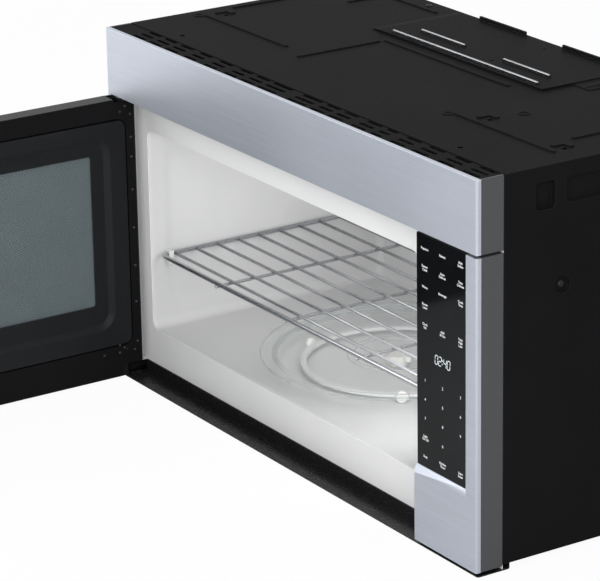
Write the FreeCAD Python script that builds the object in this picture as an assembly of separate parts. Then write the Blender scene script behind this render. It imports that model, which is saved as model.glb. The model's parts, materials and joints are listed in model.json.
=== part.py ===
import FreeCAD
import Part
import math
import os

V = FreeCAD.Vector

# ---------------------------------------------------------------- driving dimensions, mm
# Axes while modelling: +X to the right seen from the front, +Y to the wall, +Z up.
# y = 0 is the wall face, z = 0 the underside of the front lip, x = 0 the middle of the width.

# cabinet
width = 759.0
height = 444.0
depth = 385.0
sheet = 1.0
lip_drop = 7.0
lip_depth = 42.0
lip_front_inset = 2.0
lip_thickness = 1.2
sill_height = 15.0
sill_depth = 1.5
base_flange = 14.0
seat_gap = 0.3
shaft_clearance = 0.05

# front zone: door, fascia and control panel share it
door_thickness = 33.0
door_gap = 2.0
fascia_height = 82.0
fascia_gap = 3.0
skin = 1.0
skin_return = 6.0
corner_radius = 3.0
carrier_wall = 3.0
rib_thickness = 2.0
panel_width = 116.0
panel_bottom = 5.0
glass_recess = 5.0
glass_thickness = 3.0
glass_corner = 1.5
glass_top_gap = 1.0
block_height = 79.0
chamfer_height = 9.0
strip_width = 19.0

# vent strip on top of the fascia: starts and lengths of the slots, measured from the left
grille_thickness = 1.4
grille_sink = 0.6
slot_width = 5.0
slot_rows = 3
slot_edge = 1.7
slot_groups = [(50.5, 27.0), (87.0, 27.0), (124.0, 27.0), (166.5, 26.0), (210.5, 27.0), (254.5, 26.0),
               (290.5, 27.0), (325.5, 39.0), (387.0, 38.0), (434.5, 27.0), (469.5, 27.0), (514.5, 27.0),
               (551.5, 20.0), (588.5, 27.0), (630.5, 28.0), (676.5, 28.0), (720.5, 28.0)]

# cavity
cavity_floor = 61.0
cavity_side_gap = 31.5
cavity_panel_gap = 37.5
cavity_top_gap = 42.0
cavity_rear_gap = 8.0
cavity_radius = 12.0
emboss_depth = 2.0
emboss_radius = 24.0
emboss_front = 45.0
emboss_rear = 40.0
emboss_low = 38.0
emboss_high = 34.0
emboss_side = 60.0

# cavity lamp behind its perforations
lamp_setback = 290.0
lamp_drop = 40.0
lamp_hole_radius = 2.0
lamp_hole_pitch = 8.0
lamp_hole_columns = 4
lamp_hole_rows = 3
lamp_radius = 6.5
lamp_length = 22.0
shield_half_width = 20.0
shield_half_height = 18.0
shield_thickness = 3.0
socket_thickness = 8.0

# microwave source beside the cavity
guide_width = 100.0
guide_height = 50.0
guide_rise = 139.0
guide_setback = 185.0
guide_reach = 22.0
mica_thickness = 0.6
mica_lap = 8.0
antenna_radius = 8.0
antenna_length = 14.0
antenna_gap = 1.0
yoke_width = 90.0
yoke_height = 76.0
yoke_length = 56.0
yoke_sheet = 2.0
anode_radius = 19.0
fin_count = 8
fin_thickness = 1.0
fin_inset = 5.0
fin_end_gap = 6.0
filter_box_length = 36.0
filter_box_width = 64.0
filter_box_height = 52.0

# turntable
tray_wall_gap = 4.5
tray_thickness = 4.0
tray_rim_height = 8.0
tray_rim_width = 14.0
tray_slope = 6.0
tray_edge_round = 1.0
ring_inset = 52.0
ring_width = 7.0
ring_thickness = 4.0
roller_radius = 7.2
roller_width = 6.0
roller_chamfer = 0.8
roller_count = 3
roller_side_gap = 0.5
first_roller_angle = -33.0
axle_radius = 1.6
axle_cap = 1.2
hub_radius = 11.0
hub_rise = 2.0
hub_arms = 3
hub_arm_radius = 4.0
hub_arm_reach = 13.0
hub_arm_height = 7.0
coupler_shaft_radius = 4.0
coupler_shaft_length = 14.0
coupler_hole_gap = 1.5
motor_radius = 25.0
motor_height = 18.0
motor_ear = 9.0
motor_ear_width = 12.0
motor_ear_thickness = 3.0

# rack: a bent frame wire, shelf wires across it and cross wires welded under them
rack_height = 155.0
rack_frame_wire = 3.0
rack_wire = 2.0
rack_weld = 0.5
rack_side_gap = 6.0
rack_front_gap = 12.0
rack_back_gap = 20.0
rack_first_wire = 18.0
rack_wire_pitch = 30.4
rack_cross_pitch = 150.5
rack_wire_tip = 4.5
rack_corner = 8.0
clip_length = 7.4
clip_above = 4.5
clip_below = 12.0
clip_mouth = 4.4

# door
door_bottom = 3.0
door_side_gap = 2.0
hinge_inset = 8.0
hinge_setback = 17.0
pin_radius = 4.0
pin_length = 14.0
bush_wall = 2.0
hinge_plate = 3.0
hinge_collar = 3.0
hinge_notch = 30.0
hinge_tab_height = 27.0
hinge_tab_thickness = 2.5
open_angle = 90.0
inner_panel_setback = 2.0
choke_depth = 9.0
choke_margin = 17.5
choke_gap = 2.0
cover_setback = 0.6
cover_wall = 2.2
lip_inset = 5.0
lip_width = 10.5
lip_fall = 5.0
lip_corner = 25.0
lip_sections = 5
lip_raise = 4.0
screen_inset = 30.0
screen_raise = 8.0
screen_top_raise = 5.0
screen_corner = 4.0
screen_lap = 6.0
screen_thickness = 0.6
film_thickness = 1.0
film_lap = 9.0
handle_radius = 8.0
handle_end_round = 3.0
handle_reach = 44.0
handle_length = 222.0
handle_inset = 34.0
post_radius = 5.0
post_inset = 28.0

# latch and interlock
hook_end_gap = 64.0
hook_width = 4.0
hook_length = 18.0
hook_height = 9.0
hook_drop = 2.0
hook_lift = 4.0
hook_inset = 9.5
slot_margin = 1.5
choke_slot_margin = 1.0
lever_overhang = 14.0
lever_setback = 1.0
lever_front_gap = 2.0
lever_stud_radius = 1.6
lever_stud_length = 8.0
lever_guide_offset = 40.0
lever_guide_height = 16.0
spring_radius = 3.0
spring_wire = 0.5
spring_turns = 5
spring_length = 22.0
plunger_radius = 1.5
plunger_travel = 2.0
plunger_stem = 7.0
switch_depth = 14.0
switch_width = 13.0
switch_height = 18.0
terminal_length = 6.0
terminal_pitch = 6.0
bracket_sheet = 1.5
bracket_foot = 14.0
bracket_overhang = 24.0

# control board behind the glass
board_thickness = 1.6
board_gap = 3.0
board_margin = 8.0
spacer_radius = 3.0
spacer_inset = 5.0
display_height = 22.0
display_inset = 14.0
socket_reach = 7.0

# blower under the top panel
blower_center_y = -66.0
blower_drop = 62.0
blower_offset = -13.0
blower_width = 91.0
blower_gap = 72.0
wheel_radius = 44.0
blade_depth = 9.0
blade_count = 28
blade_thickness = 0.9
blade_lean = 3.0
blade_foot = 0.6
wheel_rim = 2.0
wheel_side_gap = 11.0
wheel_hub_wall = 4.0
wheel_hub_length = 14.0
scroll_gap = 4.0
scroll_growth = 3.0
duct_length = 18.0
mouth_height = 44.0
rail_width = 40.0
shaft_radius = 4.0
shaft_end_gap = 14.0
blower_motor_radius = 34.0
blower_motor_gap = 9.0
bell_gap = 3.0
bell_step = 12.0
strap_width = 24.0
strap_depth = 36.0

# cooling fan in the component bay
fan_radius = 46.0
fan_blades = 5
fan_tip_gap = 3.0
fan_depth = 48.0
fan_hub_radius = 13.0
fan_height = 210.0
fan_offset = 2.0
fan_wall = 4.0
shroud_sheet = 2.0
shroud_front = 3.0
fan_motor_radius = 17.0
fan_motor_length = 18.0
fan_motor_setback = 7.0
fan_bar = 4.0
fan_bar_height = 16.0
fan_shaft_radius = 2.5
fan_hub_gap = 1.0
fan_shaft_tip = 2.0
fan_blade_width = 26.0
fan_blade_rise = 8.4
fan_blade_thickness = 1.6

# high voltage parts on the base
core_inset = 18.0
core_setback = 190.0
core_width = 84.0
core_depth = 62.0
core_height = 74.0
core_wall = 12.0
core_window = 16.0
coil_bulge = 14.0
coil_gap = 1.0
lower_coil_height = 18.0
upper_coil_height = 25.0
foot_reach = 10.0
foot_thickness = 2.0
can_inset = 30.0
can_setback = 88.0
can_width = 54.0
can_depth = 34.0
can_height = 92.0
clamp_wall = 2.0
clamp_height = 10.0
tab_pitch = 20.0
tab_width = 6.0
tab_height = 10.0
tab_thickness = 0.8
diode_inset = 44.0
diode_setback = 104.0
diode_length = 22.0
diode_radius = 3.5
diode_rise = 6.0

# relay board on the right side panel; each part as forward place, height, width, height and reach
relay_board_gap = 8.0
relay_board_front = 19.0
relay_board_depth = 110.0
relay_board_bottom = 110.0
relay_board_height = 150.0
relay_board_parts = [(14.0, 20.0, 22.0, 18.0, 16.0), (14.0, 50.0, 22.0, 18.0, 16.0), (50.0, 20.0, 34.0, 34.0,
                                                                                      28.0),
                     (20.0, 90.0, 30.0, 22.0, 12.0), (66.0, 90.0, 26.0, 40.0, 14.0), (60.0, 64.0, 14.0, 14.0,
                                                                                      20.0)]

# top panel pressings: x from the left where positive and from the right where negative, y from the wall
bead_width = 8.0
bead_height = 1.4
bead_slope = 0.175
cross_beads = ((22.5, 206.5, 257.0), (249.5, -261.5, 148.5), (-214.5, -31.5, 260.5))
long_beads = ((13.5, 213.0, 100.0), (250.5, 273.0, 155.0), (-61.0, 217.0, 110.0), (74.5, 84.0, 20.0))
rear_bead_length = 94.0
rear_bead_gap = 16.0
rear_bead_setback = 26.0
lance_places = ((38.5, 237.0), (-168.5, 244.5), (-36.5, 244.5))
lance_length = 20.0
lance_width = 6.0
lance_gap = 7.0
dimple_places = ((-215.5, 266.5), (-166.5, 200.0), (20.0, 264.0))
dimple_radius = 7.0
dimple_wall = 2.5
hang_bolt_x = -7.5
hang_bolt_spacing = 565.0
hang_bolt_setback = 54.5
hang_bolt_radius = 3.3
top_screw_places = (79.5, 149.5, -79.5)
top_screw_setback = 14.0
screw_cover_gap = 27.0
screw_radius = 3.5
screw_head = 1.8

# side panel pressings: distance from the wall, distance below the top, length, height, depth, corner
front_pocket = (309.0, 48.0, 25.0, 31.0, 6.0, 5.0)
long_pocket = (269.0, 46.0, 159.0, 29.0, 4.0, 6.0)
screw_pocket = (283.4, 145.0, 20.0, 20.0, 3.5, 10.0)
side_screw_radius = 4.0

# back panel and cord gland
hook_slot_length = 60.0
hook_slot_width = 7.0
hook_slot_spacing = 500.0
hook_slot_height = 25.5
gland_inset = 49.5
gland_drop = 40.0
gland_radius = 8.0
gland_flange = 3.0
gland_bore = 4.5
gland_length = 9.0

# underside
lens_width = 90.0
lens_depth = 60.0
lens_offset = 200.0
lens_inset = 85.0
lens_lap = 4.0
lens_thickness = 2.0
lens_corner = 6.0
lens_screw_gap = 9.0
filter_middle_gap = 30.0
filter_bay_gap = 7.0
filter_lens_gap = 20.0
filter_rear_gap = 100.0
filter_lap = 6.0
filter_corner = 6.0
filter_thickness = 6.0
filter_rim = 12.0
mesh_thickness = 2.5
mesh_rise = 1.5
cooktop_socket_offset = 59.0
cooktop_socket_length = 14.0
cooktop_lamp_rise = 12.0

# exhaust cover above the blower
cover_width = 334.0
cover_depth = 131.0
cover_back = 6.0
cover_rise = 2.5
cover_slope = 14.0
cover_margin = 48.0
cover_window_front = 92.0
cover_window_back = 16.0
rib_rise = 1.8
rib_width = 7.0
front_rib_setback = 7.5
front_rib_inset = 16.0
window_rib_gap = 3.0
rear_tab_rise = 4.0
rear_tab_depth = 3.0
cover_ear_width = 30.0
cover_ear_front = 88.0
cover_ear_back = 10.0
ear_bead_inset = 18.0
ear_bead_margin = 4.0
ear_bead_back = 30.0
cover_hole_radius = 2.2
cover_holes = ((8.0, 28.0), (6.5, 106.0))

# charcoal filter behind the vent strip
charcoal_width = 250.0
charcoal_top_gap = 16.0
charcoal_depth = 14.0
charcoal_cells = 10
charcoal_wall = 3.0
charcoal_rim = 5.0
cell_depth = 2.5
shelf_overhang = 8.0

# ---------------------------------------------------------------- places worked out from them
side_x = width / 2
front_y = -depth
flange_y = front_y + door_thickness + door_gap
carrier_front_y = front_y + skin_return
carrier_back_y = flange_y - seat_gap
fascia_bottom = height - fascia_height
panel_top = fascia_bottom - fascia_gap
panel_x = side_x - panel_width
strip_x = side_x - strip_width
block_top = panel_bottom + block_height
glass_bottom = block_top + chamfer_height
glass_y = front_y + glass_recess
glass_back_y = glass_y + glass_thickness
tub_floor_y = glass_back_y + carrier_wall
top_under = height - sheet
pan_top = lip_drop + sheet
shelf_z = fascia_bottom + carrier_wall
origin_z = height / 2

cavity_x0 = -side_x + cavity_side_gap
cavity_x1 = panel_x - cavity_panel_gap
cavity_top = panel_top - cavity_top_gap
cavity_front = flange_y + sheet
cavity_back = -cavity_rear_gap
cavity_mid_x = (cavity_x0 + cavity_x1) / 2
cavity_mid_y = (flange_y + cavity_back) / 2
lamp_y = -lamp_setback
lamp_z = cavity_top - lamp_drop
guide_y = -guide_setback
guide_z = cavity_floor + guide_rise
magnetron_x = cavity_x1 + sheet + guide_reach
bay_x0 = cavity_x1 + sheet
bay_x1 = side_x - sheet

tray_radius = (cavity_back - cavity_front) / 2 - tray_wall_gap
ring_radius = tray_radius - ring_inset
roller_z = cavity_floor + seat_gap + roller_radius
roller_inner = ring_radius + ring_width / 2 + roller_side_gap
tray_bottom = roller_z + roller_radius + seat_gap
rack_x0 = cavity_x0 + rack_side_gap
rack_x1 = cavity_x1 - rack_side_gap
rack_y0 = flange_y + rack_front_gap
rack_y1 = cavity_back - rack_back_gap

door_x0 = -side_x
door_x1 = panel_x - door_side_gap
door_top = panel_top
door_back_y = front_y + door_thickness
hinge_x = door_x0 + hinge_inset
hinge_y = front_y + hinge_setback
hinge_half = pin_radius + hinge_collar
bracket_x0 = -side_x + sheet
bush_radius = pin_radius + bush_wall
lower_plate = sill_height
upper_plate = door_top - hinge_plate
notch_low = lower_plate + hinge_plate + seat_gap
notch_high = upper_plate - seat_gap
inner_panel_y = door_back_y - inner_panel_setback
tray_y = door_back_y - choke_depth
choke_x0 = cavity_x0 - choke_margin
choke_x1 = cavity_x1 + choke_margin
choke_z0 = cavity_floor - choke_margin
choke_z1 = cavity_top + choke_margin
screen_x0 = cavity_x0 + screen_inset
screen_x1 = cavity_x1 - screen_inset
screen_z0 = cavity_floor + screen_inset + screen_raise
screen_z1 = cavity_top - screen_inset + screen_top_raise
latch_x = door_x1 - hook_inset
hook_z = (door_bottom + hook_end_gap, door_top - hook_end_gap)
lever_z0 = hook_z[0] - lever_overhang
lever_z1 = hook_z[1] + lever_overhang
lever_y0 = tub_floor_y + lever_setback
lever_y1 = tray_y - screen_thickness - lever_front_gap
spring_top = lever_z1 + spring_length
plunger_tip_y = door_back_y + hook_length + seat_gap
switch_y = plunger_tip_y + plunger_travel + 1

blower_x0 = blower_offset - cover_width / 2
blower_x1 = blower_x0 + cover_width
wheel_starts = (blower_x0 + cover_margin, blower_x0 + cover_margin + blower_width + blower_gap)
blower_z = top_under - blower_drop
scroll_start = wheel_radius + scroll_gap
scroll_top = blower_z + scroll_start + 3 * scroll_growth
duct_end = blower_center_y - scroll_start - duct_length
wheel_inner = wheel_radius - blade_depth
blade_span = blower_width - 2 * wheel_side_gap
fan_x = (bay_x0 + bay_x1) / 2 + fan_offset
shroud_half = fan_radius + fan_wall
fan_y0 = -sheet - fan_depth
gland_x = side_x - gland_inset
gland_z = height - gland_drop
lens_y = front_y + lens_inset
filter_y0 = lens_y + lens_depth / 2 + filter_lens_gap
filter_y1 = -filter_rear_gap
filter_x0 = filter_middle_gap
filter_x1 = bay_x0 - filter_bay_gap


# ---------------------------------------------------------------- form helpers
def box(x0, x1, y0, y1, z0, z1):
    return Part.makeBox(x1 - x0, y1 - y0, z1 - z0, V(x0, y0, z0))


def turn_to(shape, axis):
    """Puts a prism that was built along Z onto another axis: X takes (y, z), Y takes (x, z)."""
    if axis == "x":
        matrix = FreeCAD.Matrix(0, 0, 1, 0, 1, 0, 0, 0, 0, 1, 0, 0, 0, 0, 0, 1)
        return placed(shape, matrix)
    if axis == "y":
        matrix = FreeCAD.Matrix(1, 0, 0, 0, 0, 0, -1, 0, 0, 1, 0, 0, 0, 0, 0, 1)
        return placed(shape, matrix)
    return shape


def placed(shape, matrix):
    copy = shape.copy()
    copy.Placement = FreeCAD.Placement(matrix).multiply(copy.Placement)
    return copy


def prism(points, axis, low, high):
    """Extrudes a closed polygon; its points are the two other axes in X, Y, Z order."""
    wire = Part.makePolygon([V(u, v, 0) for u, v in points] + [V(points[0][0], points[0][1], 0)])
    start, end = (-high, -low) if axis == "y" else (low, high)
    body = Part.Face(wire).extrude(V(0, 0, end - start))
    body.translate(V(0, 0, start))
    return turn_to(body, axis)


def on_circle(u, v, radius, angle):
    return V(u + radius * math.cos(math.radians(angle)), v + radius * math.sin(math.radians(angle)), 0)


def rounded_wire(u0, u1, v0, v1, radius):
    """Outline of a rounded rectangle: four quarter arcs joined by straight lines."""
    r = min(radius, (u1 - u0) / 2 - 0.01, (v1 - v0) / 2 - 0.01)
    centres = [(u1 - r, v0 + r), (u1 - r, v1 - r), (u0 + r, v1 - r), (u0 + r, v0 + r)]
    arcs = [Part.Arc(*[on_circle(u, v, r, 90 * number + turn) for turn in (-90, -45, 0)])
            for number, (u, v) in enumerate(centres)]
    edges = [arc.toShape() for arc in arcs]
    for number in range(4):
        edges.append(Part.makeLine(arcs[number].EndPoint, arcs[(number + 1) % 4].StartPoint))
    return Part.Wire(Part.__sortEdges__(edges))


def slab(axis, low, high, u0, u1, v0, v1, radius=0.0):
    """A plate across one axis with a rounded rectangle outline in the two others."""
    if radius <= 0:
        return prism([(u0, v0), (u1, v0), (u1, v1), (u0, v1)], axis, low, high)
    start, end = (-high, -low) if axis == "y" else (low, high)
    body = Part.Face(rounded_wire(u0, u1, v0, v1, radius)).extrude(V(0, 0, end - start))
    body.translate(V(0, 0, start))
    return turn_to(body, axis)


def disc(axis, low, high, u, v, radius):
    start, end = (-high, -low) if axis == "y" else (low, high)
    return turn_to(Part.makeCylinder(radius, end - start, V(u, v, start)), axis)


def ring(axis, low, high, u, v, outer, inner):
    return disc(axis, low, high, u, v, outer).cut(disc(axis, low - 1, high + 1, u, v, inner))


def lathe(points, x, y):
    """Turns a closed (radius, z) profile about the vertical axis through x, y."""
    wire = Part.makePolygon([V(r, 0, z) for r, z in points] + [V(points[0][0], 0, points[0][1])])
    body = Part.Face(wire).revolve(V(0, 0, 0), V(0, 0, 1), 360)
    body.translate(V(x, y, 0))
    return body


def turned_rod(axis, low, high, u, v, radius, end_round, steps):
    """A round bar whose ends are rolled over: its half profile follows a quarter circle in a few steps."""
    rolls = [math.radians(90.0 * step / steps) for step in range(steps + 1)]
    inset = [(end_round * (1 - math.cos(turn)), end_round * (1 - math.sin(turn))) for turn in rolls]
    start, end = (-high, -low) if axis == "y" else (low, high)
    profile = [(0, start)] + [(radius - side, start + along) for side, along in reversed(inset)]
    profile += [(radius - side, end - along) for side, along in inset] + [(0, end)]
    return turn_to(lathe(profile, u, v), axis)


def across(place):
    """A place across the width, from the left side where positive and from the right where negative."""
    return place - side_x if place >= 0 else side_x + place


def fused(shapes):
    whole = shapes[0].multiFuse(shapes[1:]) if len(shapes) > 1 else shapes[0]
    return whole.removeSplitter()


def holes(shape, cutters):
    return shape.cut(Part.makeCompound(cutters))


def pocket(panel, axis, face, inward, u0, u1, v0, v1, deep, radius):
    """Presses a rounded tub into a sheet: a hole in the sheet and a thin walled cup behind it."""
    inner_end = face + inward * (deep + sheet)
    low, high = min(face, inner_end), max(face, inner_end)
    tub = slab(axis, low, high, u0 - sheet, u1 + sheet, v0 - sheet, v1 + sheet, radius + sheet)
    floor = face + inward * deep
    low, high = min(face - inward, floor), max(face - inward, floor)
    hollow = slab(axis, low, high, u0, u1, v0, v1, radius)
    return panel.fuse(tub).cut(hollow)


def strip_along(axis, start, end, middle, base, wide, tall):
    """A pressed bead with rounded ends: a low foot and a narrower crown, raised from a horizontal sheet."""
    layers = []
    for inset, top in ((0.0, base + tall / 2), (wide * bead_slope, base + tall)):
        along, aside = (start + inset, end - inset), (middle - wide / 2 + inset, middle + wide / 2 - inset)
        u, v = (along, aside) if axis == "x" else (aside, along)
        layers.append(slab("z", base, top, u[0], u[1], v[0], v[1], wide / 2 - inset))
    return layers


nodes = {}


# ---------------------------------------------------------------- cabinet shell

def base_pan():
    inner = side_x - sheet
    step_y = front_y + lip_front_inset + lip_depth
    lip_y = front_y + lip_front_inset
    sill_y = flange_y - sill_depth
    parts = [
        box(-inner, inner, step_y, -sheet, lip_drop, lip_drop + sheet),
        box(-inner, inner, step_y, step_y + sheet, 0, lip_drop + sheet),
        slab("z", 0, lip_thickness, -side_x, side_x, lip_y, step_y + sheet, corner_radius),
        box(-inner, panel_x, sill_y, sill_y + sheet, lip_thickness, sill_height),
        box(-inner, panel_x, sill_y, flange_y, sill_height - sheet, sill_height),
        box(-inner, -inner + sheet, step_y, -sheet, lip_drop, lip_drop + base_flange),
        box(inner - sheet, inner, step_y, -sheet, lip_drop, lip_drop + base_flange),
    ]
    pan = fused(parts)
    cuts = []
    for side in (-1, 1):
        low, high = sorted((side * filter_x0, side * filter_x1))
        cuts.append(slab("z", 0, pan_top + 1, low, high, filter_y0, filter_y1, filter_corner))
        cuts.append(slab("z", 0, pan_top + 1, side * lens_offset - lens_width / 2,
                         side * lens_offset + lens_width / 2, lens_y - lens_depth / 2,
                         lens_y + lens_depth / 2, lens_corner))
    return holes(pan, cuts)


def side_panel(side):
    low, high = sorted((side * side_x, side * (side_x - sheet)))
    panel = box(low, high, flange_y, 0, lip_drop, top_under)
    for setback, drop, length, tall, deep, radius in (front_pocket, long_pocket, screw_pocket):
        panel = pocket(panel, "x", side * side_x, -side, -setback, length - setback,
                       height - drop, height - drop + tall, deep, radius)
    return panel


def top_panel():
    """Sheet with pressed beads, lanced tongues with their openings, dimples and the hanging bolt holes."""
    panel = box(-side_x, side_x, cavity_front, 0, top_under, height)
    raised = []
    for start, end, setback in cross_beads:
        raised += strip_along("x", across(start), across(end), -setback, height, bead_width, bead_height)
    for place, start, end in long_beads:
        raised += strip_along("y", -start, -end, across(place), height, bead_width, bead_height)
    raised += strip_along("x", blower_x0 - rear_bead_gap - rear_bead_length, blower_x0 - rear_bead_gap,
                          -rear_bead_setback, height, bead_width, bead_height)
    cuts = []
    for place, setback in lance_places:
        x, y = across(place), -setback
        far = x + lance_width / 2 - lance_length
        tongue_y = y + lance_gap
        raised.append(box(far, x, tongue_y, tongue_y + lance_width, height, height + bead_height))
        raised.append(box(far, far + lance_width, y - lance_width, tongue_y + lance_width,
                          height, height + bead_height))
        cuts.append(box(x - lance_width / 2, x + lance_width / 2, y - lance_width / 2, y + lance_width / 2,
                        top_under - 1, height + 1))
    for place, setback in dimple_places:
        raised.append(ring("z", height, height + bead_height / 2, across(place), -setback, dimple_radius,
                           dimple_radius - dimple_wall))
    panel = fused([panel] + raised)
    for side in (-1, 1):
        cuts.append(disc("z", top_under - 1, height + 1, hang_bolt_x + side * hang_bolt_spacing / 2,
                         front_y + hang_bolt_setback, hang_bolt_radius))
    for start in wheel_starts:
        cuts.append(box(start, start + blower_width, -cover_window_front, -cover_window_back,
                        top_under - 1, height + 1))
    return holes(panel, cuts)


def exhaust_cover():
    """Raised plate over the blower with a sloped end, ribbed windows and their turned up rear tabs."""
    rise = height + cover_rise
    x0, x1, y0, y1 = blower_x0 + cover_slope, blower_x1, -cover_depth, -cover_back
    parts = [
        box(x0, x1, y0, y1, rise - sheet, rise),
        prism([(blower_x0, height), (x0, rise - sheet), (x0, rise), (blower_x0, height + sheet)], "y", y0,
              y1),
        box(x0, x1, y0, y0 + sheet, height, rise),
        box(x1 - sheet, x1, y0, y1, height, rise),
        box(x0, x1, y1 - sheet, y1, height, rise),
        box(x1, x1 + cover_ear_width, -cover_ear_front, -cover_ear_back, height, height + sheet),
    ]
    parts += strip_along("x", x0 + front_rib_inset, x1 - front_rib_inset, y0 + front_rib_setback, rise,
                         rib_width, rib_rise)
    for start in wheel_starts:
        end = start + blower_width
        parts += strip_along("x", start, end, -cover_window_front - window_rib_gap, rise, rib_width, rib_rise)
        parts.append(box(start, end, y1 - rear_tab_depth, y1, rise, rise + rear_tab_rise))
    parts += strip_along("y", ear_bead_margin - cover_ear_front, -ear_bead_back, x1 + ear_bead_inset,
                         height + sheet, rib_width, bead_height)
    cuts = [disc("z", rise - 2 * sheet, rise + sheet, wheel_starts[1] - aside, -setback, cover_hole_radius)
            for aside, setback in cover_holes]
    return holes(fused(parts), cuts)


def back_panel():
    """Rear sheet with the two long slots that hook over the wall plate and the hole for the gland."""
    panel = box(-side_x + sheet, side_x - sheet, -sheet, 0, lip_drop, top_under)
    cuts = [slab("y", -sheet - 1, 1, side * hook_slot_spacing / 2 - hook_slot_length / 2,
                 side * hook_slot_spacing / 2 + hook_slot_length / 2, hook_slot_height - hook_slot_width / 2,
                 hook_slot_height + hook_slot_width / 2, hook_slot_width / 2)
            for side in (-1, 1)]
    cuts.append(disc("y", -sheet - 1, 1, gland_x, gland_z, gland_radius))
    return holes(panel, cuts)


def cord_gland():
    """Bush in the back panel with a flange inside and a bore for the cable."""
    neck = disc("y", -sheet, 0, gland_x, gland_z, gland_radius)
    inside = disc("y", -sheet - gland_length, -sheet, gland_x, gland_z, gland_radius + gland_flange)
    return fused([neck, inside]).cut(disc("y", -sheet - gland_length - 1, 1, gland_x, gland_z, gland_bore))


nodes["base_pan"] = base_pan()
nodes["left_side_panel"] = side_panel(-1)
nodes["right_side_panel"] = side_panel(1)
nodes["top_panel"] = top_panel()
nodes["exhaust_cover"] = exhaust_cover()
nodes["back_panel"] = back_panel()
nodes["cord_gland"] = cord_gland()


# ---------------------------------------------------------------- fascia and vent strip
def skin_cup(x0, x1, z0, z1, radius):
    """Folded sheet: a front face with short returns on its four sides, open at the back."""
    cup = slab("z", z0, z1, x0, x1, front_y, front_y + skin_return + 4 * radius, radius)
    cup = cup.common(box(x0, x1, front_y, front_y + skin_return, z0, z1))
    return cup.cut(box(x0 + skin, x1 - skin, front_y + skin, front_y + skin_return + 1, z0 + skin, z1 - skin))


def fascia_carrier():
    """Moulded frame behind the fascia with closed ends and three ribs that carry the vent strip."""
    strip_z = height - grille_sink - grille_thickness
    base = box(-side_x, side_x, carrier_front_y, carrier_back_y, fascia_bottom, strip_z)
    hollow = box(-side_x + carrier_wall, side_x - carrier_wall, carrier_front_y - 1, carrier_back_y + 1,
                 shelf_z, height)
    parts = [base.cut(hollow)]
    for side in (-1, 1):
        low, high = sorted((side * side_x, side * (side_x - carrier_wall)))
        parts.append(box(low, high, carrier_front_y, carrier_back_y, fascia_bottom, height))
    for x in (-side_x / 2, 0.0, side_x / 2):
        parts.append(box(x - rib_thickness / 2, x + rib_thickness / 2, carrier_front_y, carrier_back_y,
                         shelf_z, strip_z))
    return fused(parts)


def vent_grille():
    """Strip that closes the fascia's top: rows of round ended slots and a rear edge under the top panel."""
    end_x = side_x - carrier_wall - seat_gap
    strip_top = height - grille_sink
    front = carrier_front_y + seat_gap
    strip = box(-end_x, end_x, front, flange_y, strip_top - grille_thickness, strip_top)
    edge = box(-end_x, end_x, flange_y, cavity_front, strip_top - grille_thickness, top_under)
    half = slot_width / 2
    row_front, row_back = front + slot_edge + half, flange_y - half
    slots = []
    for start, length in slot_groups:
        if start + length > width - carrier_wall - half:
            continue
        for row in range(slot_rows):
            y = row_front + (row_back - row_front) * row / (slot_rows - 1)
            slots.append(slab("z", strip_top - grille_thickness - 1, height, across(start),
                              across(start + length),
                              y - half, y + half, half - 0.1))
    return holes(fused([strip, edge]), slots)


def charcoal_filter():
    """Framed pad with a row of open cells in its front face."""
    x0 = -charcoal_width / 2
    y0 = cavity_front + seat_gap
    top = top_under - charcoal_top_gap
    pitch = charcoal_width / charcoal_cells
    pad = box(x0, x0 + charcoal_width, y0, y0 + charcoal_depth, shelf_z, top)
    cells = [box(x0 + n * pitch + charcoal_wall, x0 + (n + 1) * pitch - charcoal_wall, y0 - 1,
                 y0 + cell_depth,
                 shelf_z + charcoal_rim, top - charcoal_rim) for n in range(charcoal_cells)]
    return holes(pad, cells)


nodes["fascia_skin"] = skin_cup(-side_x, side_x, fascia_bottom, height, corner_radius)
nodes["fascia_carrier"] = fascia_carrier()
nodes["vent_grille"] = vent_grille()


# ---------------------------------------------------------------- front frame and cavity
def front_frame():
    """Enamelled sheet round the cavity mouth, with a turned back shelf, hook slots and hinge slots."""
    inner = side_x - sheet
    shelf_x = charcoal_width / 2 + shelf_overhang
    frame = fused([
        box(-inner, inner, flange_y, cavity_front, lip_thickness, shelf_z),
        box(-shelf_x, shelf_x, flange_y, cavity_front + charcoal_depth + sheet, shelf_z - sheet, shelf_z),
    ])
    low_y, high_y = flange_y - 1, cavity_front + 1
    cuts = [slab("y", low_y, high_y, cavity_x0, cavity_x1, cavity_floor, cavity_top, cavity_radius)]
    half = hook_width / 2 + slot_margin
    for z in hook_z:
        cuts.append(box(latch_x - half, latch_x + half, low_y, high_y, z - hook_height / 2 - slot_margin,
                        z + hook_height / 2 + hook_lift + slot_margin))
    for z in (lower_plate, upper_plate):
        cuts.append(box(bracket_x0, hinge_x + hinge_half, low_y, high_y, z, z + hinge_plate))
    return holes(frame, cuts)


def guide_box(x0, x1, lap):
    """A block along the path of the waveguide, larger all round by a lap."""
    return box(x0, x1, guide_y - guide_width / 2 - lap, guide_y + guide_width / 2 + lap,
               guide_z - guide_height / 2 - lap, guide_z + guide_height / 2 + lap)


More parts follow.
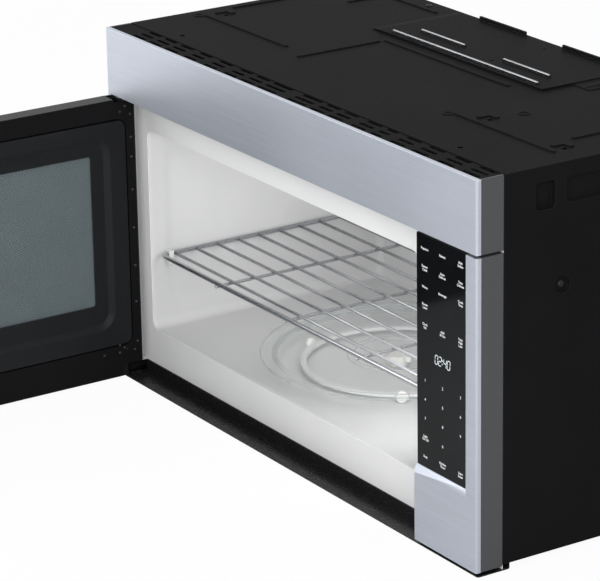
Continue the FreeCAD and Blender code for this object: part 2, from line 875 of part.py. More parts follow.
def cavity_liner():
    """Open tub with pressed side and rear panels, lamp perforations, shaft hole and waveguide mouth."""
    outer = slab("y", cavity_front, cavity_back + sheet, cavity_x0 - sheet, cavity_x1 + sheet,
                 cavity_floor - sheet, cavity_top + sheet, cavity_radius + sheet)
    inner = slab("y", cavity_front - 1, cavity_back, cavity_x0, cavity_x1, cavity_floor, cavity_top,
                 cavity_radius)
    low, high = cavity_floor + emboss_low, cavity_top - emboss_high
    liner = pocket(outer.cut(inner), "x", cavity_x0, -1, cavity_front + emboss_front,
                   cavity_back - emboss_rear,
                   low, high, emboss_depth, emboss_radius)
    liner = pocket(liner, "y", cavity_back, 1, cavity_x0 + emboss_side, cavity_x1 - emboss_side,
                   low, high, emboss_depth, emboss_radius)
    cuts = [disc("z", cavity_floor - sheet - 1, cavity_floor + 1, cavity_mid_x, cavity_mid_y,
                 coupler_shaft_radius + coupler_hole_gap),
            guide_box(cavity_x1 - 1, bay_x0 + 1, 0)]
    for row in range(lamp_hole_rows):
        for column in range(lamp_hole_columns):
            cuts.append(disc("x", cavity_x1 - 1, bay_x0 + 1,
                             lamp_y + lamp_hole_pitch * (column - (lamp_hole_columns - 1) / 2),
                             lamp_z + lamp_hole_pitch * (row - (lamp_hole_rows - 1) / 2), lamp_hole_radius))
    return holes(liner, cuts)


def waveguide_cover():
    reach_y, reach_z = guide_width / 2 + mica_lap, guide_height / 2 + mica_lap
    return slab("x", cavity_x1 - mica_thickness, cavity_x1, guide_y - reach_y, guide_y + reach_y,
                guide_z - reach_z, guide_z + reach_z, mica_lap)


def waveguide():
    """Rectangular duct on the cavity wall with a hole for the antenna in its closed end."""
    antenna = disc("x", magnetron_x - 2 * sheet, magnetron_x + 1, guide_y, guide_z,
                   antenna_radius + antenna_gap)
    duct = guide_box(bay_x0, magnetron_x, sheet).cut(guide_box(bay_x0 - 1, magnetron_x - sheet, 0))
    return duct.cut(antenna)


def magnetron():
    """Antenna, finned anode block in a yoke of four plates, and the filter box on its end."""
    x0, x1 = magnetron_x, magnetron_x + yoke_length
    half_y, half_z = yoke_width / 2, yoke_height / 2
    parts = [disc("x", x0 - antenna_length, x1 + sheet, guide_y, guide_z, antenna_radius),
             disc("x", x0, x1, guide_y, guide_z, anode_radius),
             box(x1 - sheet, x1 + filter_box_length, guide_y - filter_box_width / 2,
                 guide_y + filter_box_width / 2,
                 guide_z - filter_box_height / 2, guide_z + filter_box_height / 2)]
    for x in (x0, x1 - yoke_sheet):
        parts.append(box(x, x + yoke_sheet, guide_y - half_y, guide_y + half_y, guide_z - half_z,
                         guide_z + half_z))
    for low in (guide_z - half_z, guide_z + half_z - yoke_sheet):
        parts.append(box(x0, x1, guide_y - half_y, guide_y + half_y, low, low + yoke_sheet))
    first, last = x0 + yoke_sheet + fin_end_gap, x1 - yoke_sheet - fin_end_gap - fin_thickness
    for number in range(fin_count):
        x = first + (last - first) * number / (fin_count - 1)
        parts.append(box(x, x + fin_thickness, guide_y - half_y + fin_inset, guide_y + half_y - fin_inset,
                         guide_z - half_z + fin_inset, guide_z + half_z - fin_inset))
    return fused(parts)


nodes["front_frame"] = front_frame()
nodes["cavity_liner"] = cavity_liner()
nodes["waveguide_cover"] = waveguide_cover()
nodes["waveguide"] = waveguide()
nodes["magnetron"] = magnetron()


# ---------------------------------------------------------------- turntable
def glass_tray():
    """Pressed glass plate whose edge rises to a flat rim, turned about the cavity's middle."""
    low = tray_bottom
    rim_low = low + tray_rim_height - tray_thickness
    rim_top = low + tray_rim_height
    rim_start = tray_radius - tray_rim_width
    profile = [(0, low), (rim_start - tray_slope, low), (rim_start, rim_low),
               (tray_radius - tray_edge_round, rim_low), (tray_radius, rim_low + tray_edge_round),
               (tray_radius, rim_top - tray_edge_round), (tray_radius - tray_edge_round, rim_top),
               (rim_start - tray_edge_round, rim_top),
               (rim_start - tray_edge_round - tray_slope, low + tray_thickness),
               (0, low + tray_thickness)]
    return lathe(profile, cavity_mid_x, cavity_mid_y)


def turntable_coupler():
    """Hub on the motor shaft with three rounded arms that drive the tray."""
    hub_z = cavity_floor + hub_rise
    parts = [disc("z", hub_z, tray_bottom, cavity_mid_x, cavity_mid_y, hub_radius),
             disc("z", cavity_floor - coupler_shaft_length, hub_z, cavity_mid_x, cavity_mid_y,
                  coupler_shaft_radius)]
    for number in range(hub_arms):
        spot = on_circle(cavity_mid_x, cavity_mid_y, hub_arm_reach, 360.0 * number / hub_arms + 30)
        parts.append(disc("z", tray_bottom - hub_arm_height, tray_bottom, spot.x, spot.y, hub_arm_radius))
    return fused(parts)


def turntable_motor():
    """Flat geared motor under the cavity with two ears, a terminal block and its shaft bore."""
    top = cavity_floor - sheet
    low = top - motor_height
    reach = motor_radius + motor_ear
    body = disc("z", low, top, cavity_mid_x, cavity_mid_y, motor_radius)
    ears = slab("z", top - motor_ear_thickness, top, cavity_mid_x - reach, cavity_mid_x + reach,
                cavity_mid_y - motor_ear_width / 2, cavity_mid_y + motor_ear_width / 2, motor_ear_width / 2)
    terminals = box(cavity_mid_x - motor_ear, cavity_mid_x + motor_ear,
                    cavity_mid_y + motor_radius - sheet * 3,
                    cavity_mid_y + reach, low + 2 * sheet, top - motor_ear_thickness - sheet)
    bore = disc("z", cavity_floor - coupler_shaft_length - seat_gap, top + 1, cavity_mid_x, cavity_mid_y,
                coupler_shaft_radius + shaft_clearance)
    return fused([body, ears, terminals]).cut(bore)


def around_tray(shape, number):
    shape.rotate(V(cavity_mid_x, cavity_mid_y, 0), V(0, 0, 1),
                 first_roller_angle + 360.0 * number / roller_count)
    return shape


def roller_ring():
    """Flat ring with radial axles, each ending in a cap outside its roller."""
    low = roller_z - ring_thickness / 2
    cap_x = cavity_mid_x + roller_inner + roller_width + axle_radius / 4
    parts = [ring("z", low, low + ring_thickness, cavity_mid_x, cavity_mid_y,
                  ring_radius + ring_width / 2, ring_radius - ring_width / 2)]
    for number in range(roller_count):
        axle = disc("x", cavity_mid_x + ring_radius, cap_x + axle_cap / 2, cavity_mid_y, roller_z,
                    axle_radius)
        cap = disc("x", cap_x, cap_x + axle_cap, cavity_mid_y, roller_z, axle_radius + 1)
        parts += [around_tray(axle, number), around_tray(cap, number)]
    return fused(parts)


def roller(number):
    x0 = cavity_mid_x + roller_inner
    wheel = turned_rod("x", x0, x0 + roller_width, cavity_mid_y, roller_z, roller_radius, roller_chamfer, 1)
    bore = disc("x", x0 - 1, x0 + roller_width + 1, cavity_mid_y, roller_z, axle_radius + shaft_clearance)
    return around_tray(wheel.cut(bore), number)


nodes["glass_tray"] = glass_tray()
nodes["turntable_coupler"] = turntable_coupler()
nodes["turntable_motor"] = turntable_motor()
nodes["roller_ring"] = roller_ring()
for count in range(roller_count):
    nodes["roller_" + str(count + 1)] = roller(count)


# ---------------------------------------------------------------- wire rack
def bent_frame(x0, x1, y0, y1, z, corner, radius):
    """A round wire bent to a rounded rectangle: four straight rods joined by quarter rings."""
    parts = [disc("x", x0 + corner, x1 - corner, y, z, radius) for y in (y0, y1)]
    parts += [disc("y", y0 + corner, y1 - corner, x, z, radius) for x in (x0, x1)]
    centres = [(x1 - corner, y1 - corner), (x0 + corner, y1 - corner), (x0 + corner, y0 + corner),
               (x1 - corner, y0 + corner)]
    for number, (x, y) in enumerate(centres):
        bend = Part.makeTorus(corner, radius, V(x, y, z), V(0, 0, 1), -180, 180, 90)
        bend.rotate(V(x, y, z), V(0, 0, 1), 90 * number)
        parts.append(bend)
    return fused(parts)


def wire_rack():
    """Frame wire bent to a rounded rectangle, shelf wires inside it and cross wires welded from below."""
    parts = [bent_frame(rack_x0, rack_x1, rack_y0, rack_y1, rack_height, rack_corner, rack_frame_wire)]
    first_y, last_y = rack_y0 + rack_first_wire, rack_y1 - rack_first_wire
    spaces = round((last_y - first_y) / rack_wire_pitch)
    for number in range(spaces + 1):
        y = first_y + (last_y - first_y) * number / spaces
        parts.append(disc("x", rack_x0, rack_x1, y, rack_height, rack_wire))
    cross_z = rack_height - 2 * rack_wire + rack_weld
    count = int((rack_x1 - rack_x0) / rack_cross_pitch)
    for number in range(count):
        x = cavity_mid_x + (number - (count - 1) / 2) * rack_cross_pitch
        parts.append(disc("y", rack_y0 - rack_wire_tip, rack_y1 + rack_wire_tip, x, cross_z, rack_wire))
    return fused(parts)


def rack_grommets():
    """Four clips on the side walls that snap round the frame wire, each with a narrower mouth on top."""
    clips = []
    from_end = (rack_corner + rack_first_wire - rack_wire) / 2
    for wall, inward in ((cavity_x0, 1), (cavity_x1, -1)):
        wire_x = wall + inward * rack_side_gap
        low, high = sorted((wall, wire_x + inward * (rack_frame_wire + sheet)))
        for y in (rack_y0 + from_end, rack_y1 - from_end):
            clip = slab("z", rack_height - clip_below, rack_height + clip_above, low, high,
                        y - clip_length / 2, y + clip_length / 2, 1.5)
            bore = disc("y", y - clip_length, y + clip_length, wire_x, rack_height,
                        rack_frame_wire + seat_gap)
            mouth = box(wire_x - clip_mouth / 2, wire_x + clip_mouth / 2, y - clip_length, y + clip_length,
                        rack_height, rack_height + clip_above + 1)
            clips.append(clip.cut(bore).cut(mouth))
    return Part.makeCompound(clips)


nodes["wire_rack"] = wire_rack()
nodes["rack_grommets"] = rack_grommets()


# ---------------------------------------------------------------- control panel
def framed_skin(x0, x1, z0, z1, strip_x0, strip_x1):
    """Folded L shaped skin: a low block with a sloped top edge, and one upright strip beside the glass."""
    back = carrier_front_y
    block = prism([(front_y, z0), (front_y, block_top), (glass_y, glass_bottom), (back, glass_bottom), (back,
                                                                                                        z0)],
                  "x", x0, x1)
    hollow = prism([(front_y + skin, z0 + skin), (front_y + skin, block_top - skin),
                    (glass_y + skin, glass_bottom - skin), (back + 1, glass_bottom - skin), (back + 1,
                                                                                             z0 + skin)],
                   "x", x0 + skin, x1 - skin)
    strip = box(strip_x0, strip_x1, front_y, back, block_top, z1)
    channel = box(strip_x0 + skin, strip_x1 - skin, front_y + skin, back + 1, block_top - 2 * skin, z1 - skin)
    outline = slab("z", z0, z1, x0, x1, front_y, front_y + 2 * door_thickness, corner_radius)
    return fused([block, strip]).cut(hollow).cut(channel).common(outline).removeSplitter()


def carrier_tub(x0, x1, z0, z1, strip_x0, strip_x1, back):
    """Moulded tub behind a framed skin: its front wall steps back where the glass lies."""
    parts = [box(x0, x1, glass_back_y, back, z0, z1),
             box(x0, x1, carrier_front_y, glass_back_y, z0, glass_bottom),
             box(strip_x0, strip_x1, carrier_front_y, glass_back_y, z0, z1)]
    hollow = box(x0 + carrier_wall, x1 - carrier_wall, tub_floor_y, back + 1, z0 + carrier_wall,
                 z1 - carrier_wall)
    return fused(parts).cut(hollow)


def glass_pane(x0, x1, z1):
    return slab("y", glass_y, glass_back_y, x0, x1, glass_bottom + seat_gap, z1 - glass_top_gap, glass_corner)


def control_board():
    """Touch board on spacers with the display module on its face and two sockets behind."""
    y0 = tub_floor_y + board_gap
    y1 = y0 + board_thickness
    x0, x1 = panel_x + board_margin, strip_x - board_margin / 2
    z0, z1 = glass_bottom + board_margin, panel_top - board_margin
    display_z = (glass_bottom + panel_top) / 2
    parts = [box(x0, x1, y0, y1, z0, z1),
             box(x0 + display_inset, x1 - display_inset, tub_floor_y, y0,
                 display_z - display_height / 2, display_z + display_height / 2)]
    for x in (x0 + spacer_inset, x1 - spacer_inset):
        for z in (z0 + spacer_inset, z1 - spacer_inset):
            parts.append(disc("y", tub_floor_y, y0, x, z, spacer_radius))
    for z, tall in ((z0 + display_height, board_margin), (z0 + 3 * display_height, display_height)):
        parts.append(box(x0 + display_inset, x1 - display_inset, y1, y1 + socket_reach, z, z + tall))
    return fused(parts)


nodes["control_frame"] = framed_skin(panel_x, side_x, panel_bottom, panel_top, strip_x, side_x)
nodes["control_carrier"] = carrier_tub(panel_x + skin, side_x, panel_bottom, panel_top, strip_x, side_x,
                                       carrier_back_y)
nodes["control_glass"] = glass_pane(panel_x + skin, strip_x - seat_gap, panel_top)
nodes["control_board"] = control_board()


# ---------------------------------------------------------------- door, drawn shut and swung open for export
def swung(shape):
    """Turns a piece of the shut door about the hinge line to its open rest place."""
    shape.rotate(V(hinge_x, hinge_y, 0), V(0, 0, 1), -open_angle)
    return shape


def hinge_notches():
    return [box(door_x0 - 1, door_x0 + hinge_notch, carrier_front_y, flange_y, low, high)
            for low, high in ((door_bottom - 1, notch_low), (notch_high, door_top + 1))]


def door_frame():
    """Tub of the door with corner blocks for the hinge bushes and guides for the latch lever."""
    tub = carrier_tub(door_x0, door_x1, door_bottom, door_top, door_x0, door_x0 + strip_width, inner_panel_y)
    window = slab("y", front_y, door_back_y, screen_x0 - screen_lap - 2, screen_x1 + screen_lap + 2,
                  screen_z0 - 4, screen_z1 + 8, 8.0)
    parts = [tub.cut(window)]
    block = pin_length + bush_wall
    for low, high in ((notch_low, notch_low + block), (notch_high - block, notch_high)):
        parts.append(box(door_x0 + 1, hinge_x + bush_radius + carrier_wall, glass_back_y, inner_panel_y, low,
                         high))
    guide_y1 = lever_y1 + seat_gap * 2
    half = lever_guide_height / 2
    for z in (hook_z[0] + lever_guide_offset, hook_z[1] - lever_guide_offset):
        for side in (-1, 1):
            near = latch_x + side * (hook_width / 2 + seat_gap)
            low, high = sorted((near, near + side * carrier_wall))
            parts.append(box(low, high, tub_floor_y, guide_y1, z - half, z + half))
    parts.append(box(latch_x - spring_radius - 2, latch_x + spring_radius + 2, tub_floor_y, guide_y1,
                     spring_top, spring_top + carrier_wall))
    cuts = hinge_notches()
    for low, high in ((notch_low, notch_low + pin_length), (notch_high - pin_length, notch_high)):
        cuts.append(disc("z", low - 1, high + 1, hinge_x, hinge_y, bush_radius))
    corner_y = door_back_y - corner_radius - inner_panel_setback
    corner = box(door_x0 - 1, door_x0 + corner_radius, corner_y, door_back_y + 1, 0, height)
    cuts.append(corner.cut(disc("z", -1, height + 1, door_x0 + corner_radius, corner_y, corner_radius)))
    return holes(fused(parts), cuts)


def hinge_bushings():
    rings = [ring("z", low, low + pin_length, hinge_x, hinge_y, bush_radius, pin_radius + shaft_clearance)
             for low in (notch_low, notch_high - pin_length)]
    return Part.makeCompound(rings)


def door_choke():
    """Formed steel inner panel: flat rim, stepped channel all round, and a sunk floor with the window."""
    rim_y1 = inner_panel_y + sheet
    rim = slab("y", inner_panel_y, rim_y1, door_x0 + carrier_wall, door_x1 - 1, door_bottom + 1,
               door_top - 1, 4.0)
    well = slab("y", tray_y - sheet, inner_panel_y, choke_x0 - sheet, choke_x1 + sheet,
                choke_z0 - sheet, choke_z1 + sheet, cavity_radius + 2)
    hollow = slab("y", tray_y, rim_y1 + 1, choke_x0, choke_x1, choke_z0, choke_z1, cavity_radius + 1)
    window = slab("y", tray_y - 2 * sheet, rim_y1, screen_x0, screen_x1, screen_z0, screen_z1, screen_corner)
    cuts = [hollow, window] + hinge_notches()
    half = hook_width / 2 + choke_slot_margin
    for z in hook_z:
        cuts.append(box(latch_x - half, latch_x + half, inner_panel_y - 1, rim_y1 + 1,
                        z - hook_height / 2 - choke_slot_margin,
                        z + hook_height / 2 + hook_lift + choke_slot_margin))
    return holes(fused([rim, well]), cuts)


def window_dish(y_top):
    """The rolled fall from the cover's flat band to its bezel: a loft through rounded rectangles that shrink
    evenly while they sink along half a cosine wave."""
    wires = []
    for step in range(-1, lip_sections + 1):
        part = min(max(step, 0), lip_sections - 1) / (lip_sections - 1)
        inset = lip_inset + lip_width * part
        wire = rounded_wire(cavity_x0 + inset, cavity_x1 - inset, cavity_floor + inset,
                            cavity_top - inset + lip_raise, lip_corner - lip_width * part)
        fall = lip_fall * (1 - math.cos(math.pi * part)) / 2
        wire.translate(V(0, 0, fall - y_top - (1 if step < 0 else 0)))
        if step < lip_sections:
            wires.append(wire)
    return turn_to(Part.makeLoft(wires, True, True), "y")


def door_choke_cover():
    """Black moulded ring that snaps into the channel: a flat band, a rolled lip and a sunk bezel."""
    x0, x1 = choke_x0 + choke_gap, choke_x1 - choke_gap
    z0, z1 = choke_z0 + choke_gap, choke_z1 - choke_gap
    floor_y = tray_y + film_thickness
    face_y = door_back_y - cover_setback
    plate = slab("y", floor_y, face_y, x0, x1, z0, z1, cavity_radius - 2)
    under = slab("y", floor_y - 1, face_y - cover_wall, x0 + cover_wall, x1 - cover_wall,
                 z0 + cover_wall, z1 - cover_wall, cavity_radius - 4)
    bezel = slab("y", floor_y, face_y, cavity_x0 + lip_inset - cover_wall, cavity_x1 - lip_inset + cover_wall,
                 cavity_floor + lip_inset - cover_wall, cavity_top - lip_inset + lip_raise + cover_wall,
                 lip_corner)
    window = slab("y", floor_y - 1, door_back_y, screen_x0, screen_x1, screen_z0, screen_z1, screen_corner)
    return fused([plate.cut(under), bezel]).cut(window_dish(face_y)).cut(window).removeSplitter()


def door_screen():
    back = tray_y - sheet
    return slab("y", back - screen_thickness, back, screen_x0 - screen_lap, screen_x1 + screen_lap,
                screen_z0 - screen_lap / 2, screen_z1 + screen_lap, screen_corner)


def door_window_film():
    return slab("y", tray_y, tray_y + film_thickness, screen_x0 - film_lap, screen_x1 + film_lap,
                screen_z0 - film_lap, screen_z1 + film_lap, screen_corner)


def door_handle():
    """Upright bar with rolled over ends on two posts that stand on the glass."""
    x = door_x1 - handle_inset
    y = front_y - handle_reach + handle_radius
    mid = (glass_bottom + panel_top) / 2
    half = handle_length / 2
    bar = turned_rod("z", mid - half, mid + half, x, y, handle_radius, handle_end_round, 4)
    posts = [disc("y", y, glass_y, x, mid + side * (half - post_inset), post_radius) for side in (-1, 1)]
    return fused([bar] + posts)


def latch_lever():
    """Sliding bar with two hooks whose noses drop behind the slots of the front frame."""
    x0, x1 = latch_x - hook_width / 2, latch_x + hook_width / 2
    parts = [box(x0, x1, lever_y0, lever_y1, lever_z0, lever_z1)]
    tip = door_back_y + hook_length
    nose = cavity_front + 2 * hook_drop
    for z in hook_z:
        low, high = z - hook_height / 2, z + hook_height / 2
        parts.append(prism([(lever_y1 - 1, low + hook_drop), (nose, low + hook_drop), (nose + 1, low),
                            (tip - 5, low), (tip, low + hook_height / 2), (tip, high - 1), (tip - 1, high),
                            (lever_y1 - 1, high)], "x", x0, x1))
    parts.append(disc("z", lever_z1, lever_z1 + lever_stud_length, latch_x, (lever_y0 + lever_y1) / 2,
                      lever_stud_radius))
    return fused(parts)


def latch_spring():
    """Open coil between the lever's top and the lug above it."""
    low = lever_z1 + seat_gap
    rise = spring_top - seat_gap - low - 2 * spring_wire
    helix = Part.makeHelix(rise / spring_turns, rise, spring_radius)
    first = helix.Edges[0]
    section = Part.Wire(Part.makeCircle(spring_wire, first.valueAt(first.FirstParameter),
                                        first.tangentAt(first.FirstParameter)))
    coil = Part.Wire(helix.Edges).makePipeShell([section], True, True)
    coil.translate(V(latch_x, (lever_y0 + lever_y1) / 2, low + spring_wire))
    return coil


door_pieces = {
    "door_skin": framed_skin(door_x0, door_x1, door_bottom, door_top, door_x0, door_x0 + strip_width),
    "door_glass": glass_pane(door_x0 + strip_width + seat_gap, door_x1 - 0.5, door_top),
    "door_frame": door_frame(),
    "hinge_bushings": hinge_bushings(),
    "door_choke": door_choke(),
    "door_choke_cover": door_choke_cover(),
    "door_screen": door_screen(),
    "door_window_film": door_window_film(),
    "door_handle": door_handle(),
    "latch_lever": latch_lever(),
    "latch_spring": latch_spring(),
}
for name, piece in door_pieces.items():
    nodes[name] = swung(piece)


# ---------------------------------------------------------------- hinges and interlock
def hinge_brackets():
    """Two plates through the front frame, each with its pin and a tab spot welded inside the frame."""
    brackets = []
    tab_back = cavity_front + hinge_tab_thickness
    lower = (lower_plate, lower_plate + hinge_plate, 1)
    upper = (upper_plate, upper_plate, -1)
    for plate_z, pin_z, up in (lower, upper):
        tab_z = sorted((plate_z + hinge_plate * (1 - up) / 2, pin_z + up * hinge_tab_height))
        pin_span = sorted((pin_z, pin_z + up * (pin_length - seat_gap)))
        brackets.append(fused([
            box(bracket_x0, hinge_x + hinge_half, hinge_y, tab_back, plate_z, plate_z + hinge_plate),
            disc("z", plate_z, plate_z + hinge_plate, hinge_x, hinge_y, hinge_half),
            box(bracket_x0, hinge_x + hinge_half + 2 * hinge_collar, cavity_front, tab_back, tab_z[0],
                tab_z[1]),
            disc("z", pin_span[0], pin_span[1], hinge_x, hinge_y, pin_radius),
        ]))
    return Part.makeCompound(brackets)


def interlock_bracket():
    """Folded plate on the front frame that carries both door switches."""
    x0 = latch_x + switch_width - hook_width
    low, high = hook_z[0] - bracket_overhang, hook_z[1] + bracket_overhang
    plate = box(x0, x0 + bracket_sheet, cavity_front, switch_y + switch_depth + terminal_length, low, high)
    foot = box(x0, x0 + bracket_foot, cavity_front, cavity_front + bracket_sheet, low, high)
    return fused([plate, foot])


def plunger_z(number):
    return hook_z[number] + hook_lift / 2


def interlock_switches():
    """Two switch bodies with three terminals each and a bore for the plunger."""
    bodies = []
    back = switch_y + switch_depth
    x1 = latch_x + switch_width - hook_width
    for number in range(len(hook_z)):
        z = plunger_z(number)
        parts = [box(x1 - switch_width, x1, switch_y, back, z - switch_height / 2, z + switch_height / 2)]
        for step in (-1, 0, 1):
            middle = z + step * terminal_pitch
            parts.append(box(latch_x - 1, latch_x + 3, back, back + terminal_length,
                             middle - tab_thickness / 2, middle + tab_thickness / 2))
        bore = disc("y", plunger_tip_y, switch_y + plunger_stem + plunger_travel, latch_x, z,
                    plunger_radius + shaft_clearance)
        bodies.append(fused(parts).cut(bore))
    return Part.makeCompound(bodies)


def plunger(number):
    return disc("y", plunger_tip_y, plunger_tip_y + plunger_travel + plunger_stem, latch_x, plunger_z(number),
                plunger_radius)


nodes["hinge_brackets"] = hinge_brackets()
nodes["interlock_bracket"] = interlock_bracket()
nodes["interlock_switches"] = interlock_switches()
nodes["plunger_lower"] = plunger(0)
nodes["plunger_upper"] = plunger(1)


# ---------------------------------------------------------------- ventilation blower
def volute(offset):
    """Three tangent quarter arcs, two of them with growing radius, closed by the outlet in front."""
    radius = scroll_start + offset
    centre = V(blower_center_y, blower_z, 0)
    edges = []
    for start in (180, 270, 360):
        points = [on_circle(centre.x, centre.y, radius, start + turn) for turn in (0, 45, 90)]
        edges.append(Part.Arc(*points).toShape())
        if start < 360:
            centre = on_circle(centre.x, centre.y, -scroll_growth, start + 90)
            radius += scroll_growth
    first = edges[0].Vertexes[0].Point
    last = edges[-1].Vertexes[-1].Point
    mouth_low = last.y - mouth_height - 2 * offset
    corners = [last, V(duct_end, last.y, 0), V(duct_end, mouth_low, 0), V(first.x, mouth_low, 0), first]
    for number in range(4):
        edges.append(Part.makeLine(corners[number], corners[number + 1]))
    return Part.Face(Part.Wire(Part.__sortEdges__(edges)))


def volute_prism(offset, low, high):
    body = volute(offset).extrude(V(0, 0, high - low))
    body.translate(V(0, 0, low))
    return turn_to(body, "x")


def blower_housing():
    """Two scroll shaped shells, open at their inlets and mouths, on one rail under the top panel."""
    parts = []
    cuts = []
    for start in wheel_starts:
        end = start + blower_width
        parts.append(volute_prism(sheet, start, end))
        cuts.append(volute_prism(0, start + sheet, end - sheet))
        cuts.append(box(start + sheet, end - sheet, duct_end - 2 * sheet, duct_end + sheet,
                        scroll_top - mouth_height, scroll_top))
        cuts.append(disc("x", start - 1, end + 1, blower_center_y, blower_z, wheel_inner + wheel_rim))
    parts.append(box(wheel_starts[0], wheel_starts[1] + blower_width, blower_center_y - rail_width / 2,
                     blower_center_y + rail_width / 2, scroll_top + sheet / 2, top_under))
    return holes(fused(parts), cuts)


def blower_wheels():
    """Two squirrel cage wheels: curved blades between two rims, with a hub plate at one end."""
    foot, tip = wheel_inner + blade_foot, wheel_radius - blade_foot / 2
    knee = (foot + wheel_inner + blade_depth / 2) / 2 + blade_foot
    half = blade_thickness / 2
    curve = [(foot, 0), (knee, blade_lean / 5), (tip, blade_lean)]
    outline = [(reach, side - half) for reach, side in curve]
    outline += [(reach, side + half) for reach, side in reversed(curve)]
    wheels = []
    for number, start in enumerate(wheel_starts):
        low = start + wheel_side_gap
        high = low + blade_span
        plate = high - wheel_rim if number == 0 else low
        middle = plate + wheel_rim / 2
        parts = [ring("x", low, low + wheel_rim, blower_center_y, blower_z, wheel_radius, wheel_inner),
                 ring("x", high - wheel_rim, high, blower_center_y, blower_z, wheel_radius, wheel_inner),
                 disc("x", plate, plate + wheel_rim, blower_center_y, blower_z, wheel_inner + blade_foot),
                 disc("x", middle - wheel_hub_length / 2, middle + wheel_hub_length / 2, blower_center_y,
                      blower_z,
                      shaft_radius + wheel_hub_wall)]
        for count in range(blade_count):
            blade = prism(outline, "x", low + wheel_rim / 2, high - wheel_rim / 2)
            blade.rotate(V(0, 0, 0), V(1, 0, 0), 360.0 * count / blade_count)
            blade.translate(V(0, blower_center_y, blower_z))
            parts.append(blade)
        bore = disc("x", start, start + blower_width, blower_center_y, blower_z, shaft_radius)
        wheels.append(fused(parts).cut(bore))
    return Part.makeCompound(wheels)


def blower_shaft():
    return disc("x", wheel_starts[0] + shaft_end_gap, wheel_starts[1] + blower_width - shaft_end_gap,
                blower_center_y, blower_z, shaft_radius)


def blower_motor():
    """Motor can between the scrolls with a strap up to the housing rail."""
    x0, x1 = wheel_starts[0] + blower_width, wheel_starts[1]
    middle = (x0 + x1) / 2
    body = disc("x", x0 + blower_motor_gap, x1 - blower_motor_gap, blower_center_y, blower_z,
                blower_motor_radius)
    bells = disc("x", x0 + bell_gap, x1 - bell_gap, blower_center_y, blower_z,
                 blower_motor_radius - bell_step)
    strap = box(middle - strap_width / 2, middle + strap_width / 2, blower_center_y - strap_depth / 2,
                blower_center_y + strap_depth / 2, blower_z + blower_motor_radius - wheel_hub_wall * 2,
                scroll_top + sheet / 2)
    bore = disc("x", x0, x1, blower_center_y, blower_z, shaft_radius + shaft_clearance)
    return fused([body, bells, strap]).cut(bore)


nodes["blower_housing"] = blower_housing()
nodes["blower_wheels"] = blower_wheels()
nodes["blower_shaft"] = blower_shaft()
nodes["blower_motor"] = blower_motor()


# ---------------------------------------------------------------- component bay
def cooling_fan_shroud():
    """Square box on the back panel with a round duct through its front."""
    x0, x1 = fan_x - shroud_half, fan_x + shroud_half
    z0, z1 = fan_height - shroud_half, fan_height + shroud_half
    duct = disc("y", fan_y0 - 1, 1, fan_x, fan_height, fan_radius)
    inside = box(x0 + shroud_sheet, x1 - shroud_sheet, fan_y0 + shroud_front, 1, z0 + shroud_sheet,
                 z1 - shroud_sheet)
    return box(x0, x1, fan_y0, -sheet, z0, z1).cut(duct).cut(inside)


fan_motor_back = -sheet - fan_motor_setback
fan_motor_front = fan_motor_back - fan_motor_length
fan_hub_front = fan_y0 + shroud_front + fan_shaft_tip


def cooling_fan_motor():
    """Motor can on a cross bar inside the shroud, with its shaft towards the front."""
    half = shroud_half - shroud_sheet
    body = disc("y", fan_motor_front, fan_motor_back, fan_x, fan_height, fan_motor_radius)
    bar = box(fan_x - half, fan_x + half, fan_motor_back - fan_bar, fan_motor_back,
              fan_height - fan_bar_height / 2, fan_height + fan_bar_height / 2)
    shaft = disc("y", fan_hub_front - fan_shaft_tip, fan_motor_front, fan_x, fan_height, fan_shaft_radius)
    return fused([body, bar, shaft])


def cooling_fan_blades():
    """Hub with pitched blades, bored for the motor shaft."""
    hub_back = fan_motor_front - fan_hub_gap
    parts = [disc("y", fan_hub_front, hub_back, fan_x, fan_height, fan_hub_radius)]
    half_width, half_rise = fan_blade_width / 2, fan_blade_rise / 2
    outline = [(-half_width, -half_rise), (half_width, half_rise), (half_width,
                                                                    half_rise + fan_blade_thickness),
               (-half_width, -half_rise + fan_blade_thickness)]
    for count in range(fan_blades):
        blade = prism(outline, "z", fan_hub_radius - fan_tip_gap, fan_radius - fan_tip_gap)
        blade.rotate(V(0, 0, 0), V(0, 1, 0), 360.0 * count / fan_blades)
        blade.translate(V(fan_x, (fan_hub_front + hub_back) / 2, fan_height))
        parts.append(blade)
    bore = disc("y", fan_hub_front - 1, hub_back + 1, fan_x, fan_height, fan_shaft_radius + shaft_clearance)
    return fused(parts).cut(bore)


def high_voltage_transformer():
    """Laminated core with two windows and the round cornered coils through them."""
    x0, y0 = bay_x0 + core_inset, -core_setback
    x1, y1, z1 = x0 + core_width, y0 + core_depth, pan_top + core_height
    low, high = pan_top + core_wall, z1 - core_wall
    windows = [box(x0 + core_wall, x0 + core_wall + core_window, y0 - 1, y1 + 1, low, high),
               box(x1 - core_wall - core_window, x1 - core_wall, y0 - 1, y1 + 1, low, high)]
    coil_z0, coil_z1 = low + coil_gap, high - coil_gap
    coils = [slab("z", bottom, top, x0 + core_wall + coil_gap, x1 - core_wall - coil_gap,
                  y0 - coil_bulge, y1 + coil_bulge, coil_bulge)
             for bottom, top in ((coil_z0, coil_z0 + lower_coil_height), (coil_z1 - upper_coil_height,
                                                                          coil_z1))]
    foot = box(x0 - foot_reach, x1 + foot_reach, y0 + coil_bulge / 2, y1 - coil_bulge / 2,
               pan_top, pan_top + foot_thickness)
    return fused([holes(box(x0, x1, y0, y1, pan_top, z1), windows)] + coils + [foot])


